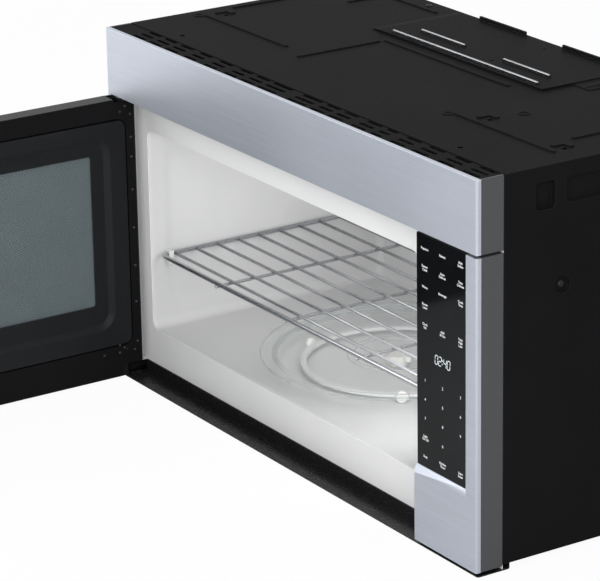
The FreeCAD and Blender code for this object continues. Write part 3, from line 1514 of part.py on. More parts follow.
def high_voltage_capacitor():
    """Oval can with two tabs on top, held to the base by a clamp."""
    x0, y0 = bay_x0 + can_inset, -can_setback
    x1, y1, z1 = x0 + can_width, y0 + can_depth, pan_top + can_height
    middle_x, middle_y = (x0 + x1) / 2, (y0 + y1) / 2
    can = slab("z", pan_top, z1, x0, x1, y0, y1, can_depth / 2 - 1)
    clamp = slab("z", pan_top, pan_top + clamp_height, x0 - clamp_wall, x1 + clamp_wall, y0 - clamp_wall,
                 y1 + clamp_wall, can_depth / 2)
    tabs = [box(middle_x + side * tab_pitch / 2 - tab_width / 2,
                middle_x + side * tab_pitch / 2 + tab_width / 2,
                middle_y - tab_thickness / 2, middle_y + tab_thickness / 2, z1, z1 + tab_height)
            for side in (-1, 1)]
    return fused([can, clamp] + tabs)


def high_voltage_diode():
    """Small cylinder on two flat legs in front of the capacitor."""
    x0, y = bay_x0 + diode_inset, -diode_setback
    x1 = x0 + diode_length
    parts = [disc("x", x0, x1, y, pan_top + diode_rise, diode_radius)]
    for start in (x0 - tab_width, x1):
        parts.append(box(start, start + tab_width, y - 1, y + 1, pan_top, pan_top + diode_rise + 1))
    return fused(parts)


def power_board():
    """Relay board on spacers against the right side panel, with its parts towards the bay."""
    x1 = bay_x1 - relay_board_gap
    x0 = x1 - board_thickness
    y0, z0 = cavity_front + relay_board_front, relay_board_bottom
    y1, z1 = y0 + relay_board_depth, z0 + relay_board_height
    parts = [box(x0, x1, y0, y1, z0, z1)]
    for y in (y0 + board_margin, y1 - board_margin):
        for z in (z0 + board_margin, z1 - board_margin):
            parts.append(disc("x", x1, bay_x1, y, z, spacer_radius))
    for along, up, wide, tall, reach in relay_board_parts:
        parts.append(box(x0 - reach, x0, y0 + along, y0 + along + wide, z0 + up, z0 + up + tall))
    return fused(parts)


nodes["cooling_fan_shroud"] = cooling_fan_shroud()
nodes["cooling_fan_motor"] = cooling_fan_motor()
nodes["cooling_fan_blades"] = cooling_fan_blades()
nodes["high_voltage_transformer"] = high_voltage_transformer()
nodes["high_voltage_capacitor"] = high_voltage_capacitor()
nodes["high_voltage_diode"] = high_voltage_diode()
nodes["power_board"] = power_board()


# ---------------------------------------------------------------- underside and lamps
def grease_filters():
    """Framed mesh panels lying over the two base openings."""
    panels = []
    y0, y1 = filter_y0 - filter_lap, filter_y1 + filter_lap
    for side in (-1, 1):
        x0, x1 = sorted((side * (filter_x0 - filter_lap), side * (filter_x1 + filter_lap)))
        frame = slab("z", pan_top, pan_top + filter_thickness, x0, x1, y0, y1, filter_corner + 2)
        window = slab("z", pan_top - 1, pan_top + filter_thickness + 1, x0 + filter_rim, x1 - filter_rim,
                      y0 + filter_rim, y1 - filter_rim, filter_corner - 2)
        mesh = box(x0 + filter_rim - 1, x1 - filter_rim + 1, y0 + filter_rim - 1, y1 - filter_rim + 1,
                   pan_top + mesh_rise, pan_top + mesh_rise + mesh_thickness)
        panels.append(frame.cut(window).fuse(mesh).removeSplitter())
    return Part.makeCompound(panels)


def cooktop_lamp_lenses():
    """Two flanged panes that drop into the base openings from above."""
    lenses = []
    y0, y1 = lens_y - lens_depth / 2, lens_y + lens_depth / 2
    for side in (-1, 1):
        x0, x1 = side * lens_offset - lens_width / 2, side * lens_offset + lens_width / 2
        pane = slab("z", lip_drop, pan_top, x0 + seat_gap, x1 - seat_gap, y0 + seat_gap, y1 - seat_gap,
                    lens_corner)
        flange = slab("z", pan_top, pan_top + lens_thickness, x0 - lens_lap, x1 + lens_lap,
                      y0 - lens_lap, y1 + lens_lap, lens_corner + 2)
        lenses.append(pane.fuse(flange))
    return Part.makeCompound(lenses)


def cooktop_lamp(x):
    """Small lamp lying along X above a lens, in a socket block that stands on the base."""
    z = pan_top + cooktop_lamp_rise
    x1 = x - cooktop_socket_offset + cooktop_socket_length / 2
    end = x1 + lamp_length
    socket = box(x1 - cooktop_socket_length, x1, lens_y - socket_thickness, lens_y + socket_thickness,
                 pan_top, z + socket_thickness + 1)
    globe = disc("x", x1, end, lens_y, z, lamp_radius)
    return fused([socket, globe, Part.makeSphere(lamp_radius, V(end, lens_y, z))])


def cavity_lamp():
    """Lamp standing behind the perforations, in a holder on its shield plate."""
    x1 = bay_x0 + shield_thickness
    lamp_x = x1 + 2 * lamp_radius + 2
    shield = box(bay_x0, x1, lamp_y - shield_half_width, lamp_y + shield_half_width,
                 lamp_z - shield_half_height, lamp_z + shield_half_height)
    opening = disc("x", bay_x0 - 1, x1 + 1, lamp_y, lamp_z, shield_half_height - shield_thickness)
    holder_y = lamp_y + shield_half_width - socket_thickness
    holder = box(x1, lamp_x + 2 * lamp_radius, holder_y, holder_y + socket_thickness,
                 lamp_z - lamp_radius - shield_thickness, lamp_z + lamp_radius + shield_thickness)
    globe = disc("y", holder_y - lamp_length, holder_y, lamp_x, lamp_z, lamp_radius)
    return fused([shield.cut(opening), holder, globe])


def cabinet_screws():
    """Pan head screws in the side recesses, along the top rear edge and beside the lamp lenses."""
    setback, drop, length, tall, deep, _ = screw_pocket
    floor_x = side_x - deep
    heads = []
    for side in (-1, 1):
        low, high = sorted((side * floor_x, side * (floor_x + screw_head)))
        heads.append(disc("x", low, high, length / 2 - setback, height - drop + tall / 2, side_screw_radius))
        for end in (-1, 1):
            heads.append(disc("z", lip_drop - screw_head, lip_drop,
                              side * lens_offset + end * (lens_width / 2 + lens_screw_gap), lens_y,
                              screw_radius))
    for x in [across(place) for place in top_screw_places] + [blower_x1 + cover_ear_width + screw_cover_gap]:
        heads.append(disc("z", height, height + screw_head, x, -top_screw_setback, screw_radius))
    return Part.makeCompound(heads)


nodes["grease_filters"] = grease_filters()
nodes["cooktop_lamp_lenses"] = cooktop_lamp_lenses()
nodes["lamps"] = Part.makeCompound([cooktop_lamp(-lens_offset), cooktop_lamp(lens_offset), cavity_lamp()])
nodes["charcoal_filter"] = charcoal_filter()
nodes["cabinet_screws"] = cabinet_screws()


# ---------------------------------------------------------------- export about the middle of the wall face
os.makedirs("parts", exist_ok=True)
for name, shape in nodes.items():
    shape.translate(V(0, 0, -origin_z))
    shape.exportStep("parts/" + name + ".step")
print(len(nodes), "nodes written")
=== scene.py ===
import json
import math
import bmesh
import bpy
import numpy as np
from mathutils import Matrix, Vector


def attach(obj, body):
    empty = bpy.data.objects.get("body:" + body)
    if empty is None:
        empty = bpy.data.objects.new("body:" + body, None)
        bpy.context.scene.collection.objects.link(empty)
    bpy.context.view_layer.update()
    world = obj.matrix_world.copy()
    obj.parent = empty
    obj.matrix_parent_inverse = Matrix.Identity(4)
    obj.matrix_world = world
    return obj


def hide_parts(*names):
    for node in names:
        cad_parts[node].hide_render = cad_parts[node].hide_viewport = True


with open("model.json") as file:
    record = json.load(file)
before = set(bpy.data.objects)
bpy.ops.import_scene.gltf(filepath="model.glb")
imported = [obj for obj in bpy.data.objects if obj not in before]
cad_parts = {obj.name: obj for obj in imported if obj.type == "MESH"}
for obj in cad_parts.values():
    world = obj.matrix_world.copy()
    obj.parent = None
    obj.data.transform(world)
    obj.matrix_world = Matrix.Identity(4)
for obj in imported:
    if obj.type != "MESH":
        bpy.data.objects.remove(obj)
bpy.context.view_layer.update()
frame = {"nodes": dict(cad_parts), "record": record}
scene = bpy.context.scene
cadNodes = frame["nodes"]
bodyOf = {node: body for body, members in frame["record"]["behaviour"]["bodies"].items() for node in members}
slotOf = {part["node"]: part["material_slot"] for part in frame["record"]["subparts"]}
mm = 0.001
print("frame loaded:", len(cadNodes), "nodes")

place = {"bottom": -222.0, "glassFace": -380.0}   # millimetres from the middle of the wall face


def hexColour(code):
    # sRGB hex to linear: below 0.04045 a straight line, above it a 2.4 power
    channels = [int(code[i:i + 2], 16) / 255 for i in (0, 2, 4)]
    return tuple(c / 12.92 if c <= 0.04045 else ((c + 0.055) / 1.055) ** 2.4 for c in channels) + (1.0,)


def addNode(tree, kind, settings=None, links=None):
    # one shader node, with its settings and the sockets that feed it
    node = tree.nodes.new(kind)
    for key, value in (settings or {}).items():
        if key in node.inputs:
            node.inputs[key].default_value = value
        else:
            setattr(node, key, value)
    for key, source in (links or {}).items():
        tree.links.new(source, node.inputs[key])
    return node


def makeFinish(name, colour, sockets, patterns=()):
    # a Principled finish whose colour, roughness and bump vary with patterns of a real size in millimetres
    material = bpy.data.materials.new(name)
    material.use_nodes = True
    tree = material.node_tree
    tree.nodes.clear()
    shader = addNode(tree, "ShaderNodeBsdfPrincipled", sockets)
    shader.inputs["Base Color"].default_value = hexColour(colour)
    tree.links.new(shader.outputs[0], addNode(tree, "ShaderNodeOutputMaterial").inputs["Surface"])
    place3d = addNode(tree, "ShaderNodeTexCoord")
    tint, normal = None, None
    for pattern in patterns:
        size = pattern["size"] if isinstance(pattern["size"], tuple) else (pattern["size"],) * 3
        mapping = addNode(tree, "ShaderNodeMapping", {"Scale": tuple(1000.0 / s for s in size),
                                                      "Rotation": pattern.get("turn", (0, 0, 0))},
                          {"Vector": place3d.outputs["Object"]})
        texture = addNode(tree, pattern.get("texture", "ShaderNodeTexNoise"),
                          {"Scale": 1.0, **pattern.get("settings", {})}, {"Vector": mapping.outputs[0]})
        signal = texture.outputs[pattern.get("output", 0)]
        low, high = pattern.get("clip", (0.3, 0.7))
        level = addNode(tree, "ShaderNodeMapRange", {"From Min": low, "From Max": high},
                        {"Value": signal}).outputs[0]
        if "tint" in pattern:
            mix = addNode(tree, "ShaderNodeMix", {"data_type": "RGBA"})   # its colours are sockets 6 and 7
            mix.inputs[7].default_value = hexColour(pattern["tint"])
            mix.inputs[6].default_value = hexColour(colour)
            if tint:
                tree.links.new(tint, mix.inputs[6])
            strength = addNode(tree, "ShaderNodeMath", {"operation": "MULTIPLY"}, {0: level})
            strength.inputs[1].default_value = pattern.get("amount", 1.0)
            tree.links.new(strength.outputs[0], mix.inputs[0])
            tint = mix.outputs[2]
        if "rough" in pattern:
            spread = addNode(tree, "ShaderNodeMapRange",
                             {"To Min": pattern["rough"][0], "To Max": pattern["rough"][1]},
                             {"Value": level})
            tree.links.new(spread.outputs[0], shader.inputs["Roughness"])
        if "bump" in pattern:
            links = {"Height": level}
            if normal:
                links["Normal"] = normal
            bump = addNode(tree, "ShaderNodeBump", {"Strength": pattern.get("strength", 1.0),
                                                    "Distance": pattern["bump"] * mm}, links)
            normal = bump.outputs[0]
    if tint:
        tree.links.new(tint, shader.inputs["Base Color"])
    if normal:
        tree.links.new(normal, shader.inputs["Normal"])
    return material


def dress(obj, material):
    obj.data.materials.clear()
    obj.data.materials.append(material)
    return obj


def addPiece(name, points, faces, material, body, slot, replaced=(), smooth=True):
    # points in millimetres; puts whole arrays into a mesh and hangs it on its body
    mesh = bpy.data.meshes.new(name)
    mesh.from_pydata((np.asarray(points, float) * mm).tolist(), [], [list(map(int, face)) for face in faces])
    mesh.validate()
    mesh.polygons.foreach_set("use_smooth", np.full(len(mesh.polygons), smooth))
    obj = bpy.data.objects.new(name, mesh)
    scene.collection.objects.link(obj)
    dress(obj, material)
    if replaced:
        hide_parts(*replaced)
    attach(obj, body)
    return obj


def gridFaces(rows, columns, wrapRows=False, wrapColumns=False, start=0):
    # quads of a rows by columns grid whose points are stored row by row
    r = np.arange(rows if wrapRows else rows - 1)
    c = np.arange(columns if wrapColumns else columns - 1)
    r, c = np.meshgrid(r, c, indexing="ij")
    r1, c1 = (r + 1) % rows, (c + 1) % columns
    quads = np.stack([r * columns + c, r * columns + c1, r1 * columns + c1, r1 * columns + c], axis=-1)
    return (quads.reshape(-1, 4) + start).tolist()


def roundedOutline(u0, u1, v0, v1, radius, steps=6):
    # points and outward normals of a rounded rectangle, going round through its four quarter arcs
    angles = np.linspace(0, np.pi / 2, steps + 1)
    centres = np.array([(u1 - radius, v1 - radius), (u0 + radius, v1 - radius),
                        (u0 + radius, v0 + radius), (u1 - radius, v0 + radius)])
    turns = (np.arange(4) * np.pi / 2)[:, None] + angles[None, :]
    normals = np.stack([np.cos(turns), np.sin(turns)], axis=-1)
    points = centres[:, None, :] + radius * normals
    return points.reshape(-1, 2), normals.reshape(-1, 2)


def turned(profile, centre, steps):
    # spins (radius, height) steps about an upright line: x = radius cos a, y = radius sin a
    radii, heights = np.array(profile, float).T
    angles = np.linspace(0, 2 * np.pi, steps, endpoint=False)
    grid = np.stack([centre[0] + radii[:, None] * np.cos(angles), centre[1] + radii[:, None] * np.sin(angles),
                     np.broadcast_to(heights[:, None], (len(radii), steps))], axis=-1)
    return grid.reshape(-1, 3), gridFaces(len(radii), steps, wrapColumns=True)


def wireAlong(path, radius, closed=False, sides=14):
    # a round wire: circles square to a path, each of its own radius, with flat ends
    path = np.asarray(path, float)
    ahead = np.roll(path, -1, axis=0) - path
    behind = path - np.roll(path, 1, axis=0)
    if not closed:
        ahead[-1], behind[0] = behind[-1], ahead[0]
    along = ahead / np.linalg.norm(ahead, axis=1)[:, None] + behind / np.linalg.norm(behind, axis=1)[:, None]
    along /= np.linalg.norm(along, axis=1)[:, None]
    side = np.cross(np.broadcast_to(np.array([0.0, 0.0, 1.0]), along.shape), along)
    side /= np.linalg.norm(side, axis=1)[:, None]
    angles = np.linspace(0, 2 * np.pi, sides, endpoint=False)
    lift = np.cross(along, side)
    ring = np.cos(angles)[None, :, None] * side[:, None] + np.sin(angles)[None, :, None] * lift[:, None]
    points = (path[:, None] + np.broadcast_to(radius, len(path))[:, None, None] * ring).reshape(-1, 3)
    faces = gridFaces(len(path), sides, wrapRows=closed, wrapColumns=True)
    if not closed:
        faces += [list(range(sides))[::-1], list(range(len(points) - sides, len(points)))]
    return points, faces


def straightWire(start, end, radius, tips=False):
    # a straight wire; with tips its ends are half balls: radius sin a at radius (1 - cos a) from the end
    start, end = np.array(start, float), np.array(end, float)
    if not tips:
        return wireAlong([start, end], radius)
    length = np.linalg.norm(end - start)
    angles = np.radians([8.0, 30.0, 52.0, 74.0, 90.0])   # the circles of one half ball, from its tip
    steps = np.concatenate([radius * (1 - np.cos(angles)), (length - radius * (1 - np.cos(angles)))[::-1]])
    radii = np.concatenate([radius * np.sin(angles), (radius * np.sin(angles))[::-1]])
    return wireAlong(start + (end - start) * (steps / length)[:, None], radii)


def joined(meshes):
    # several (points, faces) lists as one
    points, faces, start = [], [], 0
    for some, quads in meshes:
        points.append(np.asarray(some))
        faces += [[index + start for index in face] for face in quads]
        start += len(some)
    return np.concatenate(points), faces


def facingOut(obj, inwards=False):
    # merges doubles and turns all faces the same way; an open tub faces its inside
    work = bmesh.new()
    work.from_mesh(obj.data)
    bmesh.ops.remove_doubles(work, verts=work.verts, dist=1e-6)
    bmesh.ops.recalc_face_normals(work, faces=work.faces)
    lowest = min(work.faces, key=lambda face: face.calc_center_median().z)
    if inwards and lowest.normal.z < 0:
        bmesh.ops.reverse_faces(work, faces=work.faces)
    work.to_mesh(obj.data)
    work.free()
    return obj


def softPanel(u, v, box, corner, blend):
    # 1 inside a rounded rectangle and 0 outside: a smooth step of the signed distance to its outline
    u0, u1, v0, v1 = box
    du = np.abs(u - (u0 + u1) / 2) - (u1 - u0) / 2 + corner
    dv = np.abs(v - (v0 + v1) / 2) - (v1 - v0) / 2 + corner
    distance = np.hypot(np.maximum(du, 0), np.maximum(dv, 0)) + np.minimum(np.maximum(du, dv), 0) - corner
    step = np.clip(0.5 - distance / blend, 0, 1)
    return step * step * (3 - 2 * step)


# how the edges of sheets and mouldings are rolled: angles in degrees, merging distance in metres
rolling = {"segments": 2, "sharpAbove": 35.0, "flatBelow": 0.2, "merge": 2e-6, "flatWeight": 90}


def roundedCopy(node, material, width, fold=None):
    # a merged copy of the node's own mesh with its edges rolled over; large flat faces keep their normals
    work = bmesh.new()
    work.from_mesh(cadNodes[node].data)
    bmesh.ops.remove_doubles(work, verts=work.verts, dist=rolling["merge"])
    bmesh.ops.dissolve_limit(work, angle_limit=math.radians(rolling["flatBelow"]), verts=work.verts,
                             edges=work.edges)
    mesh = bpy.data.meshes.new(node + "_dressed")
    work.to_mesh(mesh)
    work.free()
    mesh.polygons.foreach_set("use_smooth", np.full(len(mesh.polygons), True))
    obj = bpy.data.objects.new(node + "_dressed", mesh)
    scene.collection.objects.link(obj)
    edge = obj.modifiers.new("edge", "BEVEL")
    edge.width, edge.segments, edge.limit_method = width * mm, rolling["segments"], "ANGLE"
    edge.angle_limit, edge.use_clamp_overlap = math.radians(rolling["sharpAbove"]), True
    flat = obj.modifiers.new("flat", "WEIGHTED_NORMAL")
    flat.mode, flat.weight, flat.keep_sharp = "FACE_AREA", rolling["flatWeight"], False
    dress(obj, material)
    if fold:
        mesh.materials.append(fold)
        edge.material = 1
    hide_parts(node)
    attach(obj, bodyOf[node])
    return obj


# camera, at the photograph's angle
camera = {"place": (2965.09, -2267.67, 1232.0), "yaw": -57.205, "pitch": 19.414, "roll": 0.989,
          "lens": 196.94, "sensor": 36.0, "clip": (0.05, 50)}


def setCamera():
    yaw, pitch, roll = (math.radians(camera[k]) for k in ("yaw", "pitch", "roll"))
    ahead = Vector((math.sin(yaw) * math.cos(pitch), math.cos(yaw) * math.cos(pitch), -math.sin(pitch)))
    right = Vector((math.cos(yaw), -math.sin(yaw), 0))
    down = ahead.cross(right)
    right, down = (math.cos(roll) * right + math.sin(roll) * down,
                   -math.sin(roll) * right + math.cos(roll) * down)
    data = bpy.data.cameras.new("camera")
    data.lens, data.sensor_width, data.sensor_fit = camera["lens"], camera["sensor"], "HORIZONTAL"
    data.clip_start, data.clip_end = camera["clip"]
    obj = bpy.data.objects.new("camera", data)
    scene.collection.objects.link(obj)
    turn = Matrix((right, -down, -ahead)).transposed().to_4x4()
    obj.matrix_world = Matrix.Translation(Vector(camera["place"]) * mm) @ turn
    scene.camera = obj


setCamera()

# light, floor and background
studio = {"worldLight": 0.55, "background": 1.0, "floorColour": "F4F4F4", "floorGlow": 0.95, "floorReach": 40,
          "floorGap": 0.5,
          "lamps": [("rightLamp", (2.4, -2.4, 1.5), (0.0, -0.3, 0.0), 2.4, 62.0),
                    ("leftLamp", (-2.3, -2.6, 1.0), (0.0, -0.3, 0.0), 2.2, 45.0),
                    ("topLamp", (0.9, 0.9, 3.0), (0.0, -0.2, 0.0), 2.6, 22.0),
                    ("cavityLamp", (0.205, -0.28, 0.02), (-0.348, -0.1, -0.09), 0.2, 0.85),
                    ("cavityRearLamp", (-0.12, -0.27, 0.05), (-0.3, -0.01, -0.03), 0.12, 0.22)]}


def setStudio():
    world = bpy.data.worlds.new("studio")
    scene.world = world
    world.use_nodes = True
    tree = world.node_tree
    tree.nodes.clear()
    path = addNode(tree, "ShaderNodeLightPath")
    seen = addNode(tree, "ShaderNodeMath", {"operation": "MAXIMUM"},
                   {0: path.outputs["Is Camera Ray"], 1: path.outputs["Is Transmission Ray"]})
    seen = addNode(tree, "ShaderNodeMath", {"operation": "MAXIMUM"},
                   {0: seen.outputs[0], 1: path.outputs["Is Glossy Ray"]})
    dim = addNode(tree, "ShaderNodeBackground", {"Color": (1, 1, 1, 1), "Strength": studio["worldLight"]})
    pale = addNode(tree, "ShaderNodeBackground", {"Color": (1, 1, 1, 1), "Strength": studio["background"]})
    mix = addNode(tree, "ShaderNodeMixShader", {},
                  {0: seen.outputs[0], 1: dim.outputs[0], 2: pale.outputs[0]})
    tree.links.new(mix.outputs[0], addNode(tree, "ShaderNodeOutputWorld").inputs["Surface"])
    for name, spot, target, size, power in studio["lamps"]:
        data = bpy.data.lights.new(name, "AREA")
        data.shape, data.size, data.energy = "DISK", size, power
        obj = bpy.data.objects.new(name, data)
        obj.location = spot
        # those in the cavity only fill its shade
        obj.visible_camera, obj.visible_glossy = False, not name.startswith("cavity")
        obj.rotation_euler = (Vector(target) - Vector(spot)).to_track_quat("-Z", "Y").to_euler()
        scene.collection.objects.link(obj)
    floor = bpy.data.objects.new("floor", bpy.data.meshes.new("floor"))
    level, reach = (place["bottom"] - studio["floorGap"]) * mm, studio["floorReach"]
    floor.data.from_pydata([(-reach, -reach, level), (reach, -reach, level), (reach, reach, level),
                            (-reach, reach, level)], [], [(0, 1, 2, 3)])
    scene.collection.objects.link(floor)
    paint = bpy.data.materials.new("palePaintedFloor")
    paint.use_nodes = True
    tree = paint.node_tree
    tree.nodes.clear()
    matt = addNode(tree, "ShaderNodeBsdfDiffuse", {"Color": hexColour(studio["floorColour"])})
    glow = addNode(tree, "ShaderNodeEmission", {"Color": (1, 1, 1, 1), "Strength": 1.0})
    path = addNode(tree, "ShaderNodeLightPath")
    share = addNode(tree, "ShaderNodeMath", {"operation": "MULTIPLY"}, {0: path.outputs["Is Camera Ray"]})
    share.inputs[1].default_value = studio["floorGlow"]
    mix = addNode(tree, "ShaderNodeMixShader", {},
                  {0: share.outputs[0], 1: matt.outputs[0], 2: glow.outputs[0]})
    tree.links.new(mix.outputs[0], addNode(tree, "ShaderNodeOutputMaterial").inputs["Surface"])
    dress(floor, paint)
    scene.view_settings.view_transform = "Standard"


setStudio()
print("camera and studio ready")

# finishes, each named for the real one, some also for the light painted into them; the sizes of their
# patterns are in millimetres

# 430 stainless sheet, belt brushed along the width, its scratches drawn 1.5 mm apart
brushedStainless = makeFinish("brushedStainless", "BABFC9", {"Metallic": 0.85, "Roughness": 0.44}, [
    {"size": (140.0, 1.5, 1.5), "tint": "A9AEB9", "amount": 0.5, "settings": {"Detail": 2.0}},
    {"size": (30.0, 0.8, 0.8), "clip": (0.45, 0.8), "tint": "CACED8", "amount": 0.25},
    # its broad lighter patches, 300 mm across, are painted sheen for the uneven reflection along the sheet
    {"size": 300.0, "tint": "C2C7D0", "amount": 0.4, "rough": (0.41, 0.47)}])
# the same sheet with its grain upright, on the handle
uprightStainless = makeFinish("uprightBrushedStainless", "C6CAD3", {"Metallic": 0.85, "Roughness": 0.4}, [
    {"size": (1.2, 1.2, 80.0), "clip": (0.35, 0.65), "tint": "B0B5BF", "amount": 0.6, "rough": (0.36, 0.44),
     "settings": {"Detail": 2.0}}])
# powder coated sheet steel: satin black with a fine orange peel
blackPowderCoat = makeFinish("blackPowderCoat", "161617", {"Roughness": 0.4, "Specular IOR Level": 0.006}, [
    {"size": 1.6, "bump": 0.012, "strength": 0.4, "rough": (0.36, 0.46), "settings": {"Detail": 1.0}},
    {"size": 110.0, "tint": "1A1A1B", "amount": 0.6}])
# the same coat where it is drawn thin over a fold: glossier, and a shade lighter as a painted highlight, so
# it catches a line of light
foldedPowderCoat = makeFinish("blackPowderCoatFold", "1A1A1B",
                              {"Roughness": 0.3, "Specular IOR Level": 0.1}, [
    {"size": 30.0, "tint": "202021", "amount": 0.6, "rough": (0.26, 0.36)}])
# the same fold, glossier and painted lighter as a highlight, on the blower's cover
highlightFold = makeFinish("paintedHighlightPowderCoatFold", "2A2B2C", {"Roughness": 0.22, "Specular IOR Level": 0.6}, [
    {"size": 30.0, "tint": "323334", "amount": 0.6, "rough": (0.18, 0.26)}])
# bare steel colour along the crests of the blower cover's black ribs: a painted highlight standing for their
# bright lines of reflected light; bare steel, standing for bright lines on the blower's cover that may be
# reflections on the real one
highlightCrest = makeFinish("paintedHighlightCrest", "A6A8AB", {"Metallic": 0.85, "Roughness": 0.36}, [
    {"size": (40.0, 3.0, 3.0), "tint": "8E9093", "amount": 0.5, "rough": (0.3, 0.42)}])
# the same coat at a higher gloss, on the pan under the door
glossPowderCoat = makeFinish("glossBlackPowderCoat", "1B1B1C",
                             {"Roughness": 0.24, "Specular IOR Level": 0.16}, [
    {"size": 2.2, "bump": 0.01, "strength": 0.3, "rough": (0.2, 0.3), "settings": {"Detail": 1.0}},
    {"size": 90.0, "tint": "202021", "amount": 0.6}])
# moulded ABS, dark grey, spark eroded grain
greyAbs = makeFinish("darkGreyAbs", "454648", {"Roughness": 0.5, "Specular IOR Level": 0.3}, [
    {"size": 0.9, "bump": 0.02, "strength": 0.5, "tint": "3F4042", "amount": 0.5, "rough": (0.45, 0.58)}])
# the vent strip's dull moulding: hardly any sheen, so that its slots read as black in black
dullPolypropylene = makeFinish("dullBlackPolypropylene", "151516",
                               {"Roughness": 0.5, "Specular IOR Level": 0.01}, [
    {"size": 0.8, "bump": 0.012, "strength": 0.5, "rough": (0.45, 0.58), "tint": "1A1A1B", "amount": 0.5}])
# moulded black polypropylene with a soft satin grain
blackPolypropylene = makeFinish("blackPolypropylene", "131416",
                                {"Roughness": 0.38, "Specular IOR Level": 0.2}, [
    {"size": 0.8, "bump": 0.012, "strength": 0.5, "rough": (0.38, 0.5), "tint": "1A1B1D", "amount": 0.5}])
# tempered glass printed black on its back: a mirror smooth face over black
printedGlass = makeFinish("blackPrintedGlass", "0D0E10", {"Roughness": 0.06, "Specular IOR Level": 0.12}, [
    {"size": 60.0, "tint": "131517", "amount": 0.7, "rough": (0.05, 0.08)}])
# light grey acrylic enamel baked on formed steel: smooth with a faint ripple
cavityEnamel = makeFinish("paleGreyCavityEnamel", "CDCDCD", {"Roughness": 0.34, "Specular IOR Level": 0.35}, [
    {"size": 150.0, "tint": "C8C8C9", "amount": 0.6, "rough": (0.31, 0.38)},
    {"size": 1.2, "clip": (0.2, 0.8), "tint": "CACACA", "amount": 0.3, "bump": 0.004, "strength": 0.3}])
# the cavity's enamel on the front frame, painted a shade lighter to offset the shade the frame lies in
lightenedFrameEnamel = makeFinish("paleGreyFrameEnamelLightened", "E6E6E6", {"Roughness": 0.34, "Specular IOR Level": 0.35}, [
    {"size": 150.0, "tint": "E0E0E1", "amount": 0.6, "rough": (0.31, 0.38)}])
# nickel plated drawn wire: bright metal with faint drawing lines
platedWire = makeFinish("nickelPlatedWire", "BCBEC1", {"Metallic": 0.9, "Roughness": 0.24}, [
    {"size": (1.2, 1.2, 1.2), "tint": "A4A6A9", "amount": 0.4, "rough": (0.18, 0.3)}])
# pressed tempered glass, almost colourless: most light goes through its flat web
clearGlass = makeFinish("pressedClearGlass", "D8DEDC",
                        {"Roughness": 0.06, "Alpha": 0.03, "Specular IOR Level": 0.3}, [
    {"size": 20.0, "tint": "E2E8E6", "amount": 0.6, "rough": (0.05, 0.08), "settings": {"Detail": 1.0}}])
# the same glass seen through its thick edge and moulded steps, where it is denser
edgeGlass = makeFinish("pressedClearGlassEdge", "A3ABA9", {"Roughness": 0.1, "Alpha": 0.4}, [
    {"size": 6.0, "tint": "BAC1BF", "amount": 0.6, "rough": (0.08, 0.14), "settings": {"Detail": 1.0}}])
# perforated steel behind film: staggered holes, drawn coarse so that they show (2.9 mm upright, 4.4 across)
perforatedSteel = makeFinish("perforatedSteelScreen", "5A6567",
                             {"Roughness": 0.5, "Metallic": 0.2, "Specular IOR Level": 0.2}, [
    {"size": (50.0, 3.1, 2.05), "texture": "ShaderNodeTexVoronoi", "settings": {"Randomness": 0.0},
     "turn": (math.radians(45), 0, 0), "clip": (0.52, 0.32), "tint": "2B3335"},
    {"size": 240.0, "tint": "4A5456", "amount": 0.35}])
# clear polyester film over the screen
clearFilm = makeFinish("clearPolyesterFilm", "8E999C",
                       {"Roughness": 0.08, "Alpha": 0.1, "Specular IOR Level": 0.2}, [
    {"size": 40.0, "tint": "9EA9AC", "amount": 0.6, "rough": (0.05, 0.11)}])
# zinc plated sheet with its faint spangle
zincSteel = makeFinish("zincPlatedSteel", "B4B6B8", {"Metallic": 1.0, "Roughness": 0.36}, [
    {"size": 9.0, "texture": "ShaderNodeTexVoronoi", "clip": (0.0, 0.9), "tint": "9EA1A4", "amount": 0.6,
     "rough": (0.28, 0.45)}])
# matt zinc, no spangle
dullZinc = makeFinish("dullZincPlatedSteel", "CDCFD0", {"Metallic": 0.25, "Roughness": 0.5}, [
    {"size": 5.0, "tint": "C0C2C4", "amount": 0.6, "rough": (0.44, 0.56)}])
# ground steel rod
groundRod = makeFinish("groundSteelRod", "ABADB0", {"Metallic": 1.0, "Roughness": 0.22}, [
    {"size": (0.4, 3.0, 3.0), "tint": "8E9094", "amount": 0.5, "rough": (0.17, 0.3)}])
# phlogopite mica sheet: silvery tan flakes
micaSheet = makeFinish("micaSheet", "A89C86", {"Roughness": 0.38}, [
    {"size": 4.0, "texture": "ShaderNodeTexVoronoi", "clip": (0.1, 0.8), "tint": "8B7F69", "amount": 0.7,
     "rough": (0.28, 0.5)}])
# moulded acetal, white and slightly waxy
whiteAcetal = makeFinish("whiteAcetal", "DEDEDA", {"Roughness": 0.38, "Subsurface Weight": 0.05}, [
    {"size": 1.4, "bump": 0.01, "strength": 0.4, "tint": "D4D4CF", "amount": 0.5, "rough": (0.33, 0.45)}])
# moulded acetal left in its pale grey, on the ring under the tray
paleAcetal = makeFinish("paleGreyAcetal", "D6D7D7", {"Roughness": 0.42}, [
    {"size": 1.4, "bump": 0.01, "strength": 0.4, "tint": "CDCECE", "amount": 0.5, "rough": (0.37, 0.48)}])
# pressed steel motor cans, thinly lacquered
lacqueredSteel = makeFinish("lacqueredMotorSteel", "6C6F72", {"Metallic": 0.7, "Roughness": 0.4}, [
    {"size": 2.0, "bump": 0.02, "tint": "595C5F", "amount": 0.6, "rough": (0.35, 0.5)}])
# stacked laminations under varnish, the sheets drawn 1 mm thick so that they show
varnishedLaminations = makeFinish("varnishedLaminations", "59493B", {"Roughness": 0.42, "Metallic": 0.4}, [
    {"size": (400.0, 1.0, 400.0), "tint": "3B312A", "amount": 0.8, "bump": 0.1, "rough": (0.35, 0.55)}])
